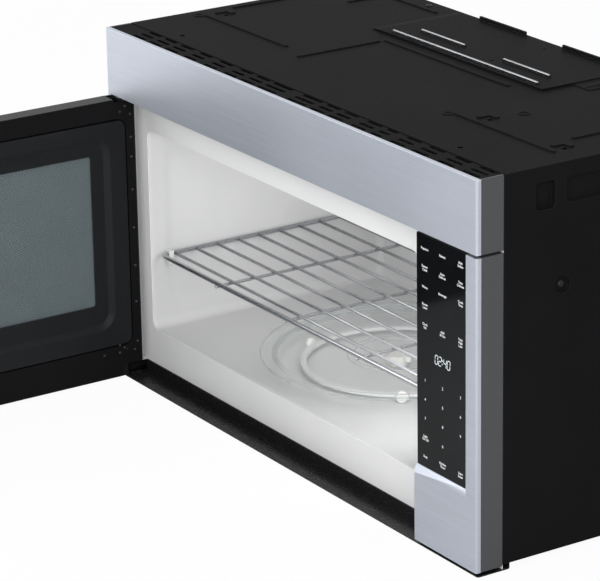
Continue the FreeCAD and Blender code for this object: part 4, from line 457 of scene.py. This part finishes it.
# deep drawn aluminium can
drawnAluminium = makeFinish("drawnAluminium", "BFC1C4", {"Metallic": 1.0, "Roughness": 0.3}, [
    {"size": (8.0, 8.0, 0.6), "tint": "A9ABAE", "amount": 0.5, "rough": (0.24, 0.38)}])
mouldedEpoxy = makeFinish("mouldedEpoxy", "222224", {"Roughness": 0.55}, [   # glass filled, matt
    {"size": 0.7, "bump": 0.02, "tint": "2C2C2E", "amount": 0.6}])
# glass epoxy board: green solder mask over copper tracks
circuitBoard = makeFinish("greenCircuitBoard", "1F5A35", {"Roughness": 0.3}, [
    {"size": (5.0, 5.0, 2.2), "texture": "ShaderNodeTexVoronoi", "clip": (0.25, 0.35), "tint": "174527",
     "amount": 0.9, "bump": 0.05, "rough": (0.25, 0.4)}])
# layered aluminium mesh, its strands drawn 3 mm apart
aluminiumMesh = makeFinish("aluminiumFilterMesh", "A6A8AB", {"Metallic": 1.0, "Roughness": 0.42}, [
    {"size": (3.0, 3.0, 30.0), "texture": "ShaderNodeTexVoronoi", "settings": {"Randomness": 0.35},
     "turn": (0, 0, math.radians(45)), "clip": (0.25, 0.5), "tint": "3A3C3E", "bump": 0.4,
     "rough": (0.35, 0.55)}])
# crushed carbon granules in a pad
carbonGranules = makeFinish("carbonGranules", "161616", {"Roughness": 0.8}, [
    {"size": 3.0, "texture": "ShaderNodeTexVoronoi", "clip": (0.1, 0.7), "tint": "2A2A2A", "bump": 0.8}])
# pressed lens glass with a prismatic ribbed face
ribbedGlass = makeFinish("ribbedLensGlass", "DDE0DC", {"Roughness": 0.25, "Transmission Weight": 0.5}, [
    {"size": (5.0, 5.0, 5.0), "texture": "ShaderNodeTexWave", "settings": {"Scale": 0.314},
     "clip": (0.0, 1.0), "tint": "C9CDC8", "amount": 0.6, "bump": 0.3}])
# screen printed marks under the glass, given a faint glow that is painted light
glowingScreenInk = makeFinish("whiteScreenInkPaintedGlow", "E6E8E8",
                       {"Roughness": 0.5, "Emission Color": hexColour("D8DCDC"), "Emission Strength": 0.12}, [
    {"size": 0.6, "tint": "D4D7D8", "amount": 0.5}])
# light through the display's segments
litDigits = makeFinish("litDisplaySegments", "D8E2E4",
                       {"Roughness": 0.4, "Emission Color": hexColour("D8E4E8"), "Emission Strength": 0.2}, [
    {"size": 1.5, "tint": "C9D5D8", "amount": 0.4}])
# domed rivets
rivetSteel = makeFinish("blackenedRivetSteel", "4A4B4D", {"Metallic": 0.7, "Roughness": 0.35}, [
    {"size": 1.0, "tint": "3A3B3D", "amount": 0.6, "rough": (0.3, 0.45)}])
# black zinc plate
blackScrew = makeFinish("blackPassivatedScrew", "2A2B2D", {"Metallic": 0.7, "Roughness": 0.4}, [
    {"size": 0.8, "tint": "1E1F20", "amount": 0.6, "rough": (0.35, 0.5)}])
print("finishes ready")

# finishes of the nodes that keep their own mesh
finishOf = {
    "back_panel": zincSteel, "waveguide": zincSteel, "magnetron": lacqueredSteel,
    "hinge_brackets": dullZinc, "interlock_bracket": zincSteel,
    "high_voltage_transformer": varnishedLaminations, "blower_wheels": zincSteel, "latch_spring": zincSteel,
    "blower_shaft": groundRod, "cord_gland": blackPolypropylene, "interlock_switches": blackPolypropylene,
    "blower_housing": blackPolypropylene, "cooling_fan_blades": blackPolypropylene,
    "cooling_fan_shroud": blackPolypropylene, "waveguide_cover": micaSheet, "door_window_film": clearFilm,
    "door_screen": perforatedSteel, "cooktop_lamp_lenses": ribbedGlass, "lamps": ribbedGlass,
    "rack_grommets": whiteAcetal, "roller_ring": paleAcetal, "roller_1": whiteAcetal,
    "roller_2": whiteAcetal, "roller_3": whiteAcetal, "turntable_coupler": whiteAcetal,
    "hinge_bushings": whiteAcetal, "latch_lever": whiteAcetal, "plunger_lower": whiteAcetal,
    "plunger_upper": whiteAcetal, "turntable_motor": lacqueredSteel, "blower_motor": lacqueredSteel,
    "cooling_fan_motor": lacqueredSteel, "high_voltage_capacitor": drawnAluminium,
    "high_voltage_diode": mouldedEpoxy, "control_board": circuitBoard, "power_board": circuitBoard,
    "grease_filters": aluminiumMesh, "charcoal_filter": carbonGranules,
}
for node, material in finishOf.items():
    dress(cadNodes[node], material)

# nodes with rolled edges: finish, edge radius in millimetres and, for some, the finish of the roll itself
rolledEdges = {
    "fascia_skin": (brushedStainless, 0.9), "control_frame": (brushedStainless, 0.8),
    "door_skin": (brushedStainless, 0.9), "door_handle": (uprightStainless, 0.4),
    "control_glass": (printedGlass, 0.4), "door_glass": (printedGlass, 0.4),
    "fascia_carrier": (greyAbs, 0.5), "control_carrier": (greyAbs, 0.5),
    "door_frame": (blackPolypropylene, 0.6), "door_choke": (blackPowderCoat, 0.3),
    "door_choke_cover": (blackPolypropylene, 0.5), "base_pan": (glossPowderCoat, 0.3),
    "left_side_panel": (blackPowderCoat, 0.35, foldedPowderCoat),
    "right_side_panel": (blackPowderCoat, 0.35, foldedPowderCoat),
    "top_panel": (blackPowderCoat, 0.3, foldedPowderCoat),
    "exhaust_cover": (blackPowderCoat, 0.5, highlightFold), "vent_grille": (dullPolypropylene, 0.2),
    "front_frame": (lightenedFrameEnamel, 0.3),
}
for node, look in rolledEdges.items():
    roundedCopy(node, *look)
print("sheet metal and mouldings ready")

# cavity: a deep drawn tub with soft pressed panels and lamp perforations
cavity = {"x": (-348.0, 226.0), "y": (-349.0, -8.0), "z": (-161.0, 95.0), "corner": 12.0, "rearCorner": 10.0,
          "wall": 1.0, "panelDepth": 2.0, "panelBlend": 14.0, "panelCorner": 32.0,
          "sidePanel": (-324.0, -44.0, -136.0, 76.0), "rearPanel": (-292.0, 170.0, -130.0, 68.0),
          "roundPanel": (-259.0, -149.0, -72.0, 38.0), "roundDepth": 1.0, "roundCorner": 55.0,
          "lamp": (-290.0, 55.0), "holes": (4, 3), "pitch": 8.0, "hole": 2.0, "step": 2.0,
          "across": 56, "upright": 46, "belowLamp": 26, "aboveLamp": 6, "beforeLamp": 10, "behindLamp": 46,
          "bendSteps": 7, "rings": 42, "innermost": 0.02, "fanSteps": 8}


def tubOutline():
    # the tub's section from the foot of its right wall: points and outward normals, quarter arcs at corners
    (x0, x1), (z0, z1), corner = cavity["x"], cavity["z"], cavity["corner"]
    lampZ, reach, step = cavity["lamp"][1], cavity["pitch"] * cavity["holes"][1] / 2, cavity["step"]
    right = np.unique(np.concatenate([np.linspace(z0 + corner, lampZ - reach, cavity["belowLamp"]),
                                      np.linspace(lampZ + reach, z1 - corner, cavity["aboveLamp"]),
                                      np.arange(lampZ - reach, lampZ + reach + step / 2, step)]))
    sides = [(right, 0), (np.linspace(x1 - corner, x0 + corner, cavity["across"]), 1),
             (np.linspace(z1 - corner, z0 + corner, cavity["upright"]), 2),
             (np.linspace(x0 + corner, x1 - corner, cavity["across"]), 3)]
    centres = [(x1 - corner, z1 - corner), (x0 + corner, z1 - corner), (x0 + corner, z0 + corner),
               (x1 - corner, z0 + corner)]
    walls = [x1, z1, x0, z0]
    points, normals = [], []
    for along, quarter in sides:
        across = np.full(len(along), walls[quarter])
        points.append(np.stack([across, along] if quarter % 2 == 0 else [along, across], axis=-1))
        turn = quarter * np.pi / 2
        normals.append(np.broadcast_to([np.cos(turn), np.sin(turn)], (len(along), 2)))
        turns = turn + np.pi / 2 * np.arange(1, cavity["fanSteps"]) / cavity["fanSteps"]
        fan = np.stack([np.cos(turns), np.sin(turns)], axis=-1)
        points.append(np.array(centres[quarter]) + corner * fan)
        normals.append(fan)
    return np.concatenate(points), np.concatenate(normals), right


def cavityShell():
    # rows run from the mouth to the rear, round a quarter arc and in to the middle of the rear wall;
    # the pressed panels push the left and rear walls outwards by a smooth step
    outline, normals, right = tubOutline()
    yFront, yBack, bend = *cavity["y"], cavity["rearCorner"]
    lampY, lampZ, step = *cavity["lamp"], cavity["step"]
    reach, high = (cavity["pitch"] * count / 2 for count in cavity["holes"])
    depth = np.unique(np.concatenate([np.linspace(yFront, lampY - reach, cavity["beforeLamp"]),
                                      np.linspace(lampY + reach, yBack - bend, cavity["behindLamp"]),
                                      np.arange(lampY - reach, lampY + reach + step / 2, step)]))
    arc = np.radians(np.linspace(0, 90, cavity["bendSteps"])[1:])
    inset = np.concatenate([np.zeros(len(depth)), bend * (1 - np.cos(arc))])
    level = np.concatenate([depth, yBack - bend + bend * np.sin(arc)])
    rows = outline[None] - inset[:, None, None] * normals[None]
    shrink = np.linspace(1, cavity["innermost"], cavity["rings"])[1:]
    middle = (outline.min(axis=0) + outline.max(axis=0)) / 2
    rear = middle + (rows[-1] - middle)[None] * shrink[:, None, None]
    flat = np.concatenate([rows, rear])
    y = np.concatenate([level, np.full(len(shrink), yBack)])[:, None] + np.zeros(len(outline))
    x, z = flat[..., 0], flat[..., 1]
    onLeft = (normals[:, 0] < -0.999)[None] & (y < yBack - bend)   # only the flat of the left wall
    pressed = cavity["panelDepth"] * softPanel(y, z, cavity["sidePanel"], cavity["panelCorner"],
                                               cavity["panelBlend"])
    pressed += cavity["roundDepth"] * softPanel(y, z, cavity["roundPanel"], cavity["roundCorner"],
                                                cavity["panelBlend"])
    atRear = (np.arange(len(y)) >= len(level))[:, None]
    push = cavity["panelDepth"] * softPanel(x, z, cavity["rearPanel"], cavity["panelCorner"],
                                            cavity["panelBlend"])
    points = np.stack([x - onLeft * pressed, y + atRear * push, z], axis=-1).reshape(-1, 3)
    columns = len(outline)
    faces = np.array(gridFaces(len(y), columns, wrapColumns=True)).reshape(len(y) - 1, columns, 4)
    firstRow = int(np.argmin(abs(depth - lampY + reach)))
    firstColumn = int(np.argmin(abs(right - lampZ + high)))
    keep = np.ones(faces.shape[:2], bool)
    keep[firstRow:firstRow + int(2 * reach / step), firstColumn:firstColumn + int(2 * high / step)] = False
    cap = [list(range((len(y) - 1) * columns, len(y) * columns))]
    return joined([(points, faces[keep].tolist() + cap), lampPlate()])


def lampPlate():
    # square cells with a round hole: sixteen steps round the square, each drawn straight in to the circle
    columns, rows, pitch = *cavity["holes"], cavity["pitch"]
    side = np.linspace(-pitch / 2, pitch / 2, 5)[:-1]
    edge = np.full(4, pitch / 2)
    square = np.concatenate([np.stack([side, -edge], 1), np.stack([edge, side], 1),
                             np.stack([-side, edge], 1), np.stack([-edge, -side], 1)])
    circle = cavity["hole"] * square / np.linalg.norm(square, axis=1)[:, None]
    loops = np.stack([square, circle])
    meshes = []
    for column in range(columns):
        for row in range(rows):
            y = cavity["lamp"][0] + pitch * (column - (columns - 1) / 2) + loops[..., 0]
            z = cavity["lamp"][1] + pitch * (row - (rows - 1) / 2) + loops[..., 1]
            cell = np.stack([np.full(y.shape, cavity["x"][1]), y, z], axis=-1).reshape(-1, 3)
            meshes.append((cell, gridFaces(2, len(square), wrapColumns=True)))
    return joined(meshes)


tub = addPiece("cavity_shell", *cavityShell(), cavityEnamel, bodyOf["cavity_liner"], slotOf["cavity_liner"],
               ["cavity_liner"])
facingOut(tub, inwards=True)
wall = tub.modifiers.new("wall", "SOLIDIFY")
wall.thickness, wall.offset = cavity["wall"] * mm, -1.0
print("cavity ready:", len(tub.data.polygons), "faces")

# wire rack: a bent frame wire, shelf wires inside it, cross wires welded under them
rack = {"x": (-342.0, 220.0), "y": (-338.0, -28.0), "level": -67.0, "corner": 8.0, "cornerSteps": 8,
        "frameWire": 3.0, "sides": 20, "wire": 2.0, "firstWire": 18.0, "shelfWires": 10, "crossWires": 3,
        "crossPitch": 150.5, "crossDrop": 3.5, "tip": 4.5}


def wireRack():
    # a closed wire round a rounded rectangle, straight wires at even steps inside it and more across, lower
    (x0, x1), (y0, y1), level = rack["x"], rack["y"], rack["level"]
    frameLine, _ = roundedOutline(x0, x1, y0, y1, rack["corner"], rack["cornerSteps"])
    frameLine = np.column_stack([frameLine, np.full(len(frameLine), level)])
    meshes = [wireAlong(frameLine, rack["frameWire"], closed=True, sides=rack["sides"])]
    for y in np.linspace(y0 + rack["firstWire"], y1 - rack["firstWire"], rack["shelfWires"]):
        meshes.append(straightWire((x0, y, level), (x1, y, level), rack["wire"]))
    middle, tip = (cavity["x"][0] + cavity["x"][1]) / 2, rack["tip"]
    for x in middle + rack["crossPitch"] * (np.arange(rack["crossWires"]) - (rack["crossWires"] - 1) / 2):
        meshes.append(straightWire((x, y0 - tip, level - rack["crossDrop"]),
                                   (x, y1 + tip, level - rack["crossDrop"]), rack["wire"], tips=True))
    return joined(meshes)


facingOut(addPiece("rack_wires", *wireRack(), platedWire, bodyOf["wire_rack"], slotOf["wire_rack"],
                   ["wire_rack"]))

# glass tray: a turned profile with a moulded ring under it
tray = {"centre": (-61.0, -179.0), "bottom": -146.0, "radius": 166.0, "thick": 4.0, "rimHeight": 8.0,
        "rimWidth": 14.0, "slope": 6.0, "round": 1.0, "cut": 0.3, "rings": [(58.0, 3.0)], "ringDepth": 1.2,
        "steps": 128, "steep": 0.95}


def glassTray():
    # steps of radius and height from the middle of the underside round the rim to the middle of the top
    low, radius, start = tray["bottom"], tray["radius"], tray["radius"] - tray["rimWidth"]
    profile = [(0, low)]
    for middle, half in tray["rings"]:
        profile += [(middle - half - 1, low), (middle - half, low + tray["ringDepth"]),
                    (middle + half, low + tray["ringDepth"]), (middle + half + 1, low)]
    under, over, bead = low + tray["rimHeight"] - tray["thick"], low + tray["rimHeight"], tray["round"]
    cut = tray["cut"] * bead
    profile += [(start - tray["slope"], low), (start, under), (radius - bead, under),
                (radius - cut, under + cut), (radius, under + bead), (radius, over - bead),
                (radius - cut, over - cut), (radius - bead, over), (start - bead, over),
                (start - bead - tray["slope"], low + tray["thick"]), (0, low + tray["thick"])]
    return turned(profile, tray["centre"], tray["steps"])


glass = facingOut(addPiece("tray_glass", *glassTray(), clearGlass, bodyOf["glass_tray"], slotOf["glass_tray"],
                           ["glass_tray"]))
glass.data.set_sharp_from_angle(angle=math.radians(30))
glass.data.materials.append(edgeGlass)
slope = np.empty(len(glass.data.polygons) * 3)
glass.data.polygons.foreach_get("normal", slope)
glass.data.polygons.foreach_set("material_index",
                                (abs(slope.reshape(-1, 3)[:, 2]) < tray["steep"]).astype(np.int32))
print("rack and tray ready")

# rivet and screw heads: a profile turned about each head's own line, crossed slots in a screw's crown
heads = {"rivet": {"radius": 1.5, "height": 0.8, "cross": 0.0},
         "screw": {"radius": 3.7, "height": 1.8, "cross": 1.0}}
headForm = {"shares": (0.0, 0.12, 0.24, 0.36, 0.48, 0.6, 0.72, 0.84, 0.93, 0.985, 1.0, 1.0, 0.0), "crown": 8,
            "steps": 40, "brim": 0.3, "sunk": 0.05, "slot": (-0.45, 0.45, -2.0, 2.0), "slotCorner": 0.2,
            "slotBlend": 0.5}
rivetRows = {"face": -356.5, "middle": -681.5, "edge": -368.0,
             "levels": (116, 87, 62, 20, -29, -78, -125, -177),
             "loose": ((-382.0, 121.0), (-375.0, 127.0), (-393.5, -177.5), (-387.0, -182.0), (-394.0, -187.0),
                       (-416.0, -186.5), (-372.5, -187.0))}
screwPlaces = [((-376.0, -273.4, 87.0), "-x"), ((376.0, -273.4, 87.0), "+x")]
screwPlaces += [((x, -300.0, -215.0), "-z") for x in (-254.0, -146.0, 146.0, 254.0)]
screwPlaces += [((x, -14.0, 222.0), "+z") for x in (-300.0, -230.0, 211.0, 300.0)]


def headMesh(spot, facing, kind):
    # height over the seat is a flattened dome, h (1 - s^4)^0.5 over s = r / R; the slots take depth where
    # |u| or |v| is small
    head = heads[kind]
    share = np.array(headForm["shares"])
    height = head["height"] * np.sqrt(np.clip(1 - share ** 4, 0, 1))
    height[-3:] = [headForm["brim"] * head["height"], -headForm["sunk"], -headForm["sunk"]]
    angles = np.linspace(0, 2 * np.pi, headForm["steps"], endpoint=False)
    u, v = head["radius"] * share[:, None] * np.cos(angles), head["radius"] * share[:, None] * np.sin(angles)
    w = height[:, None] + np.zeros(len(angles))
    for narrow, wide in ((u, v), (v, u)):
        slot = softPanel(narrow, wide, headForm["slot"], headForm["slotCorner"], headForm["slotBlend"])
        w = np.where((np.arange(len(share)) < headForm["crown"])[:, None],
                     np.minimum(w, height[:, None] - head["cross"] * slot), w)
    sign = -1.0 if facing[0] == "-" else 1.0
    order = {"x": (w * sign, u, v), "z": (u, v, w * sign)}[facing[1]]
    points = np.stack(order, axis=-1).reshape(-1, 3) + np.array(spot)
    return points, gridFaces(len(share), len(angles), wrapColumns=True)


def doorRivets():
    # each rivet and its mirror image across the door's middle line: y becomes 2 middle - y
    meshes = []
    spots = [(rivetRows["edge"], level) for level in rivetRows["levels"]] + list(rivetRows["loose"])
    for y, z in spots:
        for seat in ((rivetRows["face"], y, z), (rivetRows["face"], 2 * rivetRows["middle"] - y, z)):
            meshes.append(headMesh(seat, "+x", "rivet"))
    return joined(meshes)


facingOut(addPiece("door_rivets", *doorRivets(), rivetSteel, bodyOf["door_choke"], slotOf["door_choke"]))
facingOut(addPiece("screw_heads", *joined([headMesh(spot, facing, "screw") for spot, facing in screwPlaces]),
                   blackScrew, bodyOf["cabinet_screws"], slotOf["cabinet_screws"], ["cabinet_screws"]))

# beads along the crests of the blower cover's ribs: painted highlights
crests = {"level": 226.3, "radius": 1.2,
          "lines": ((-148.0, 136.0, -123.5), (-130.0, -43.0, -95.0), (33.0, 120.0, -95.0))}
highlightBeads = joined([straightWire((start, y, crests["level"]), (end, y, crests["level"]), crests["radius"],
                                  tips=True) for start, end, y in crests["lines"]])
facingOut(addPiece("cover_painted_highlights", *highlightBeads, highlightCrest, bodyOf["exhaust_cover"], slotOf["exhaust_cover"]))

# folded black shield under the lower hinge plate: it and the block after it fill the notch the solids leave
# open, painted shade where the notch reads dark
shield = {"axis": (-371.5, -368.0), "reach": 6.6, "front": 9.6, "back": -350.2, "levels": (-219.0, -207.0),
          "wall": 0.8, "steps": 17}


def hingeShadeShield():
    # half an ellipse round the hinge line with a straight flank at each end, stood up between two levels
    (x, y), reach = shield["axis"], shield["reach"]
    turns = np.linspace(np.pi, 2 * np.pi, shield["steps"])
    line = np.concatenate([[(x - reach, shield["back"])],
                           np.stack([x + reach * np.cos(turns), y + shield["front"] * np.sin(turns)], 1),
                           [(x + reach, shield["back"])]])
    rows = [np.column_stack([line, np.full(len(line), level)]) for level in shield["levels"]]
    return np.concatenate(rows), gridFaces(2, len(line))


fold = facingOut(addPiece("hinge_shade_shield", *hingeShadeShield(), blackPowderCoat, bodyOf["hinge_brackets"],
                          slotOf["hinge_brackets"]))
wall = fold.modifiers.new("wall", "SOLIDIFY")
wall.thickness, wall.offset = shield["wall"] * mm, 0.0

# black block that ends the notch in the door, clear of the shield as the door swings: painted shade in the
# notch
block = {"x": (-382.4, -357.6), "y": (-390.9, -382.0), "levels": (-218.9, -204.0), "corner": 0.6,
         "cornerSteps": 4}


def notchShadeBlock():
    # a rounded rectangle stood up between two levels and closed at both ends
    outline, _ = roundedOutline(*block["x"], *block["y"], block["corner"], block["cornerSteps"])
    rows = [np.column_stack([outline, np.full(len(outline), level)]) for level in block["levels"]]
    count = len(outline)
    faces = gridFaces(2, count, wrapColumns=True) + [list(range(count)), list(range(count, 2 * count))]
    return np.concatenate(rows), faces


facingOut(addPiece("notch_shade_block", *notchShadeBlock(), blackPolypropylene, bodyOf["door_frame"],
                   slotOf["door_frame"], smooth=False))
print("beads, shield and block ready")

# marks on the control glass: plain words of function, numerals and a clock
marks = {"columns": (279.7, 311.7, 344.2), "letter": 3.9, "line": 3.7, "proud": 0.05, "numeral": 4.6,
         "bold": 0.07, "thin": 0.02, "curveSteps": 2, "firstNumeral": -28.2, "numeralPitch": 22.0}
words = {120.3: ("Popcorn", "Reheat", "Melt/Soften"), 98.6: ("Sensor/Cook", "Auto/Defrost", "Time/Defrost"),
         77.3: ("Warm", "Beverage", "Cook/Time"), 56.1: ("Power/Level", "", ""),
         33.6: ("Clock/Set", "Add/30 Sec", "Vent/High/Low"),
         -94.7: ("Light/On Off", "0", ""), -116.4: ("Stop", "Kitchen/Timer", "Start/Enter")}
clock = {"digits": "02:40", "middle": (311.7, 1.6), "tall": 10.0, "wide": 4.8, "pitch": 6.7, "bar": 0.95,
         "lean": 0.1, "gap": 0.25, "dot": 0.7, "colon": 2.2, "colonBack": 0.2,
         "colonAt": (0.3, 0.7), "depths": (0.03, 0.07)}


def letterMesh(text, size, x, z):
    # a line of type as a thin mesh, stood up on the glass: type x, y and depth become x, z and -y
    data = bpy.data.curves.new("line", "FONT")
    data.body, data.size = text, size * mm
    data.extrude, data.resolution_u = marks["thin"] * mm, marks["curveSteps"]
    data.align_x, data.align_y, data.offset = "CENTER", "CENTER", marks["bold"] * mm
    holder = bpy.data.objects.new("line", data)
    mesh = bpy.data.meshes.new_from_object(holder)
    flat = np.empty(len(mesh.vertices) * 3)
    mesh.vertices.foreach_get("co", flat)
    flat = flat.reshape(-1, 3) / mm
    points = np.stack([x + flat[:, 0], place["glassFace"] - marks["proud"] - flat[:, 2], z + flat[:, 1]],
                      axis=-1)
    faces = [list(face.vertices) for face in mesh.polygons]
    bpy.data.objects.remove(holder)
    bpy.data.meshes.remove(mesh)
    bpy.data.curves.remove(data)
    return points, faces


def panelMarks():
    # words where columns and levels cross, numerals one to nine in rows of three at an even pitch
    meshes = []
    for z, row in words.items():
        for x, text in zip(marks["columns"], row):
            lines = text.split("/") if text else []
            for number, line in enumerate(lines):
                size = marks["numeral"] if line.isdigit() else marks["letter"]
                meshes.append(letterMesh(line, size, x, z + marks["line"] * ((len(lines) - 1) / 2 - number)))
    for number in range(9):
        z = marks["firstNumeral"] - marks["numeralPitch"] * (number // 3)
        meshes.append(letterMesh(str(number + 1), marks["numeral"], marks["columns"][number % 3], z))
    return joined(meshes)


def clockDigits():
    # seven bars with pointed ends to a digit, leaning right by a share of their height
    wide, tall, bar = clock["wide"], clock["tall"], clock["bar"]
    half, gap, reach = tall / 2, clock["gap"], clock["dot"]
    flat = np.array([(0, 0), (bar / 2, -bar / 2), (wide - bar / 2, -bar / 2), (wide, 0),
                     (wide - bar / 2, bar / 2), (bar / 2, bar / 2)]) * [1 - 2 * gap / wide, 1] + [gap, 0]
    upright = np.array([(0, 0), (bar / 2, bar / 2), (bar / 2, half - bar / 2), (0, half),
                        (-bar / 2, half - bar / 2), (-bar / 2, bar / 2)]) * [1, 1 - 2 * gap / half] + [0, gap]
    bars = {"a": flat + [0, tall], "b": upright + [wide, half], "c": upright + [wide, 0], "d": flat,
            "e": upright, "f": upright + [0, half], "g": flat + [0, half]}
    lit = {"0": "abcdef", "2": "abged", "4": "fgbc"}
    dot = np.array([(-reach, -reach), (reach, -reach), (reach, reach), (-reach, reach)])
    shapes, x = [], 0.0
    for sign in clock["digits"]:
        if sign == ":":
            shapes += [dot + [x - clock["colonBack"], share * tall] for share in clock["colonAt"]]
            x += clock["colon"]
        else:
            shapes += [bars[name] + [x, 0] for name in lit[sign]]
            x += clock["pitch"]
    width, meshes = x - (clock["pitch"] - wide), []
    for shape in shapes:
        across = clock["middle"][0] - width / 2 + shape[:, 0] + clock["lean"] * (shape[:, 1] - half)
        up = clock["middle"][1] - half + shape[:, 1]
        rows = [np.stack([across, np.full(len(shape), place["glassFace"] - depth), up], axis=-1)
                for depth in clock["depths"]]
        count = len(shape)
        faces = gridFaces(2, count, wrapColumns=True) + [list(range(count)), list(range(count, 2 * count))]
        meshes.append((np.concatenate(rows), faces))
    return joined(meshes)


glassBody = bodyOf["control_glass"]
addPiece("panel_marks", *panelMarks(), glowingScreenInk, glassBody, slotOf["control_glass"], smooth=False)
facingOut(addPiece("clock_digits", *clockDigits(), litDigits, glassBody, slotOf["control_glass"],
                   smooth=False))
print("marks ready")

print("pieces ready")
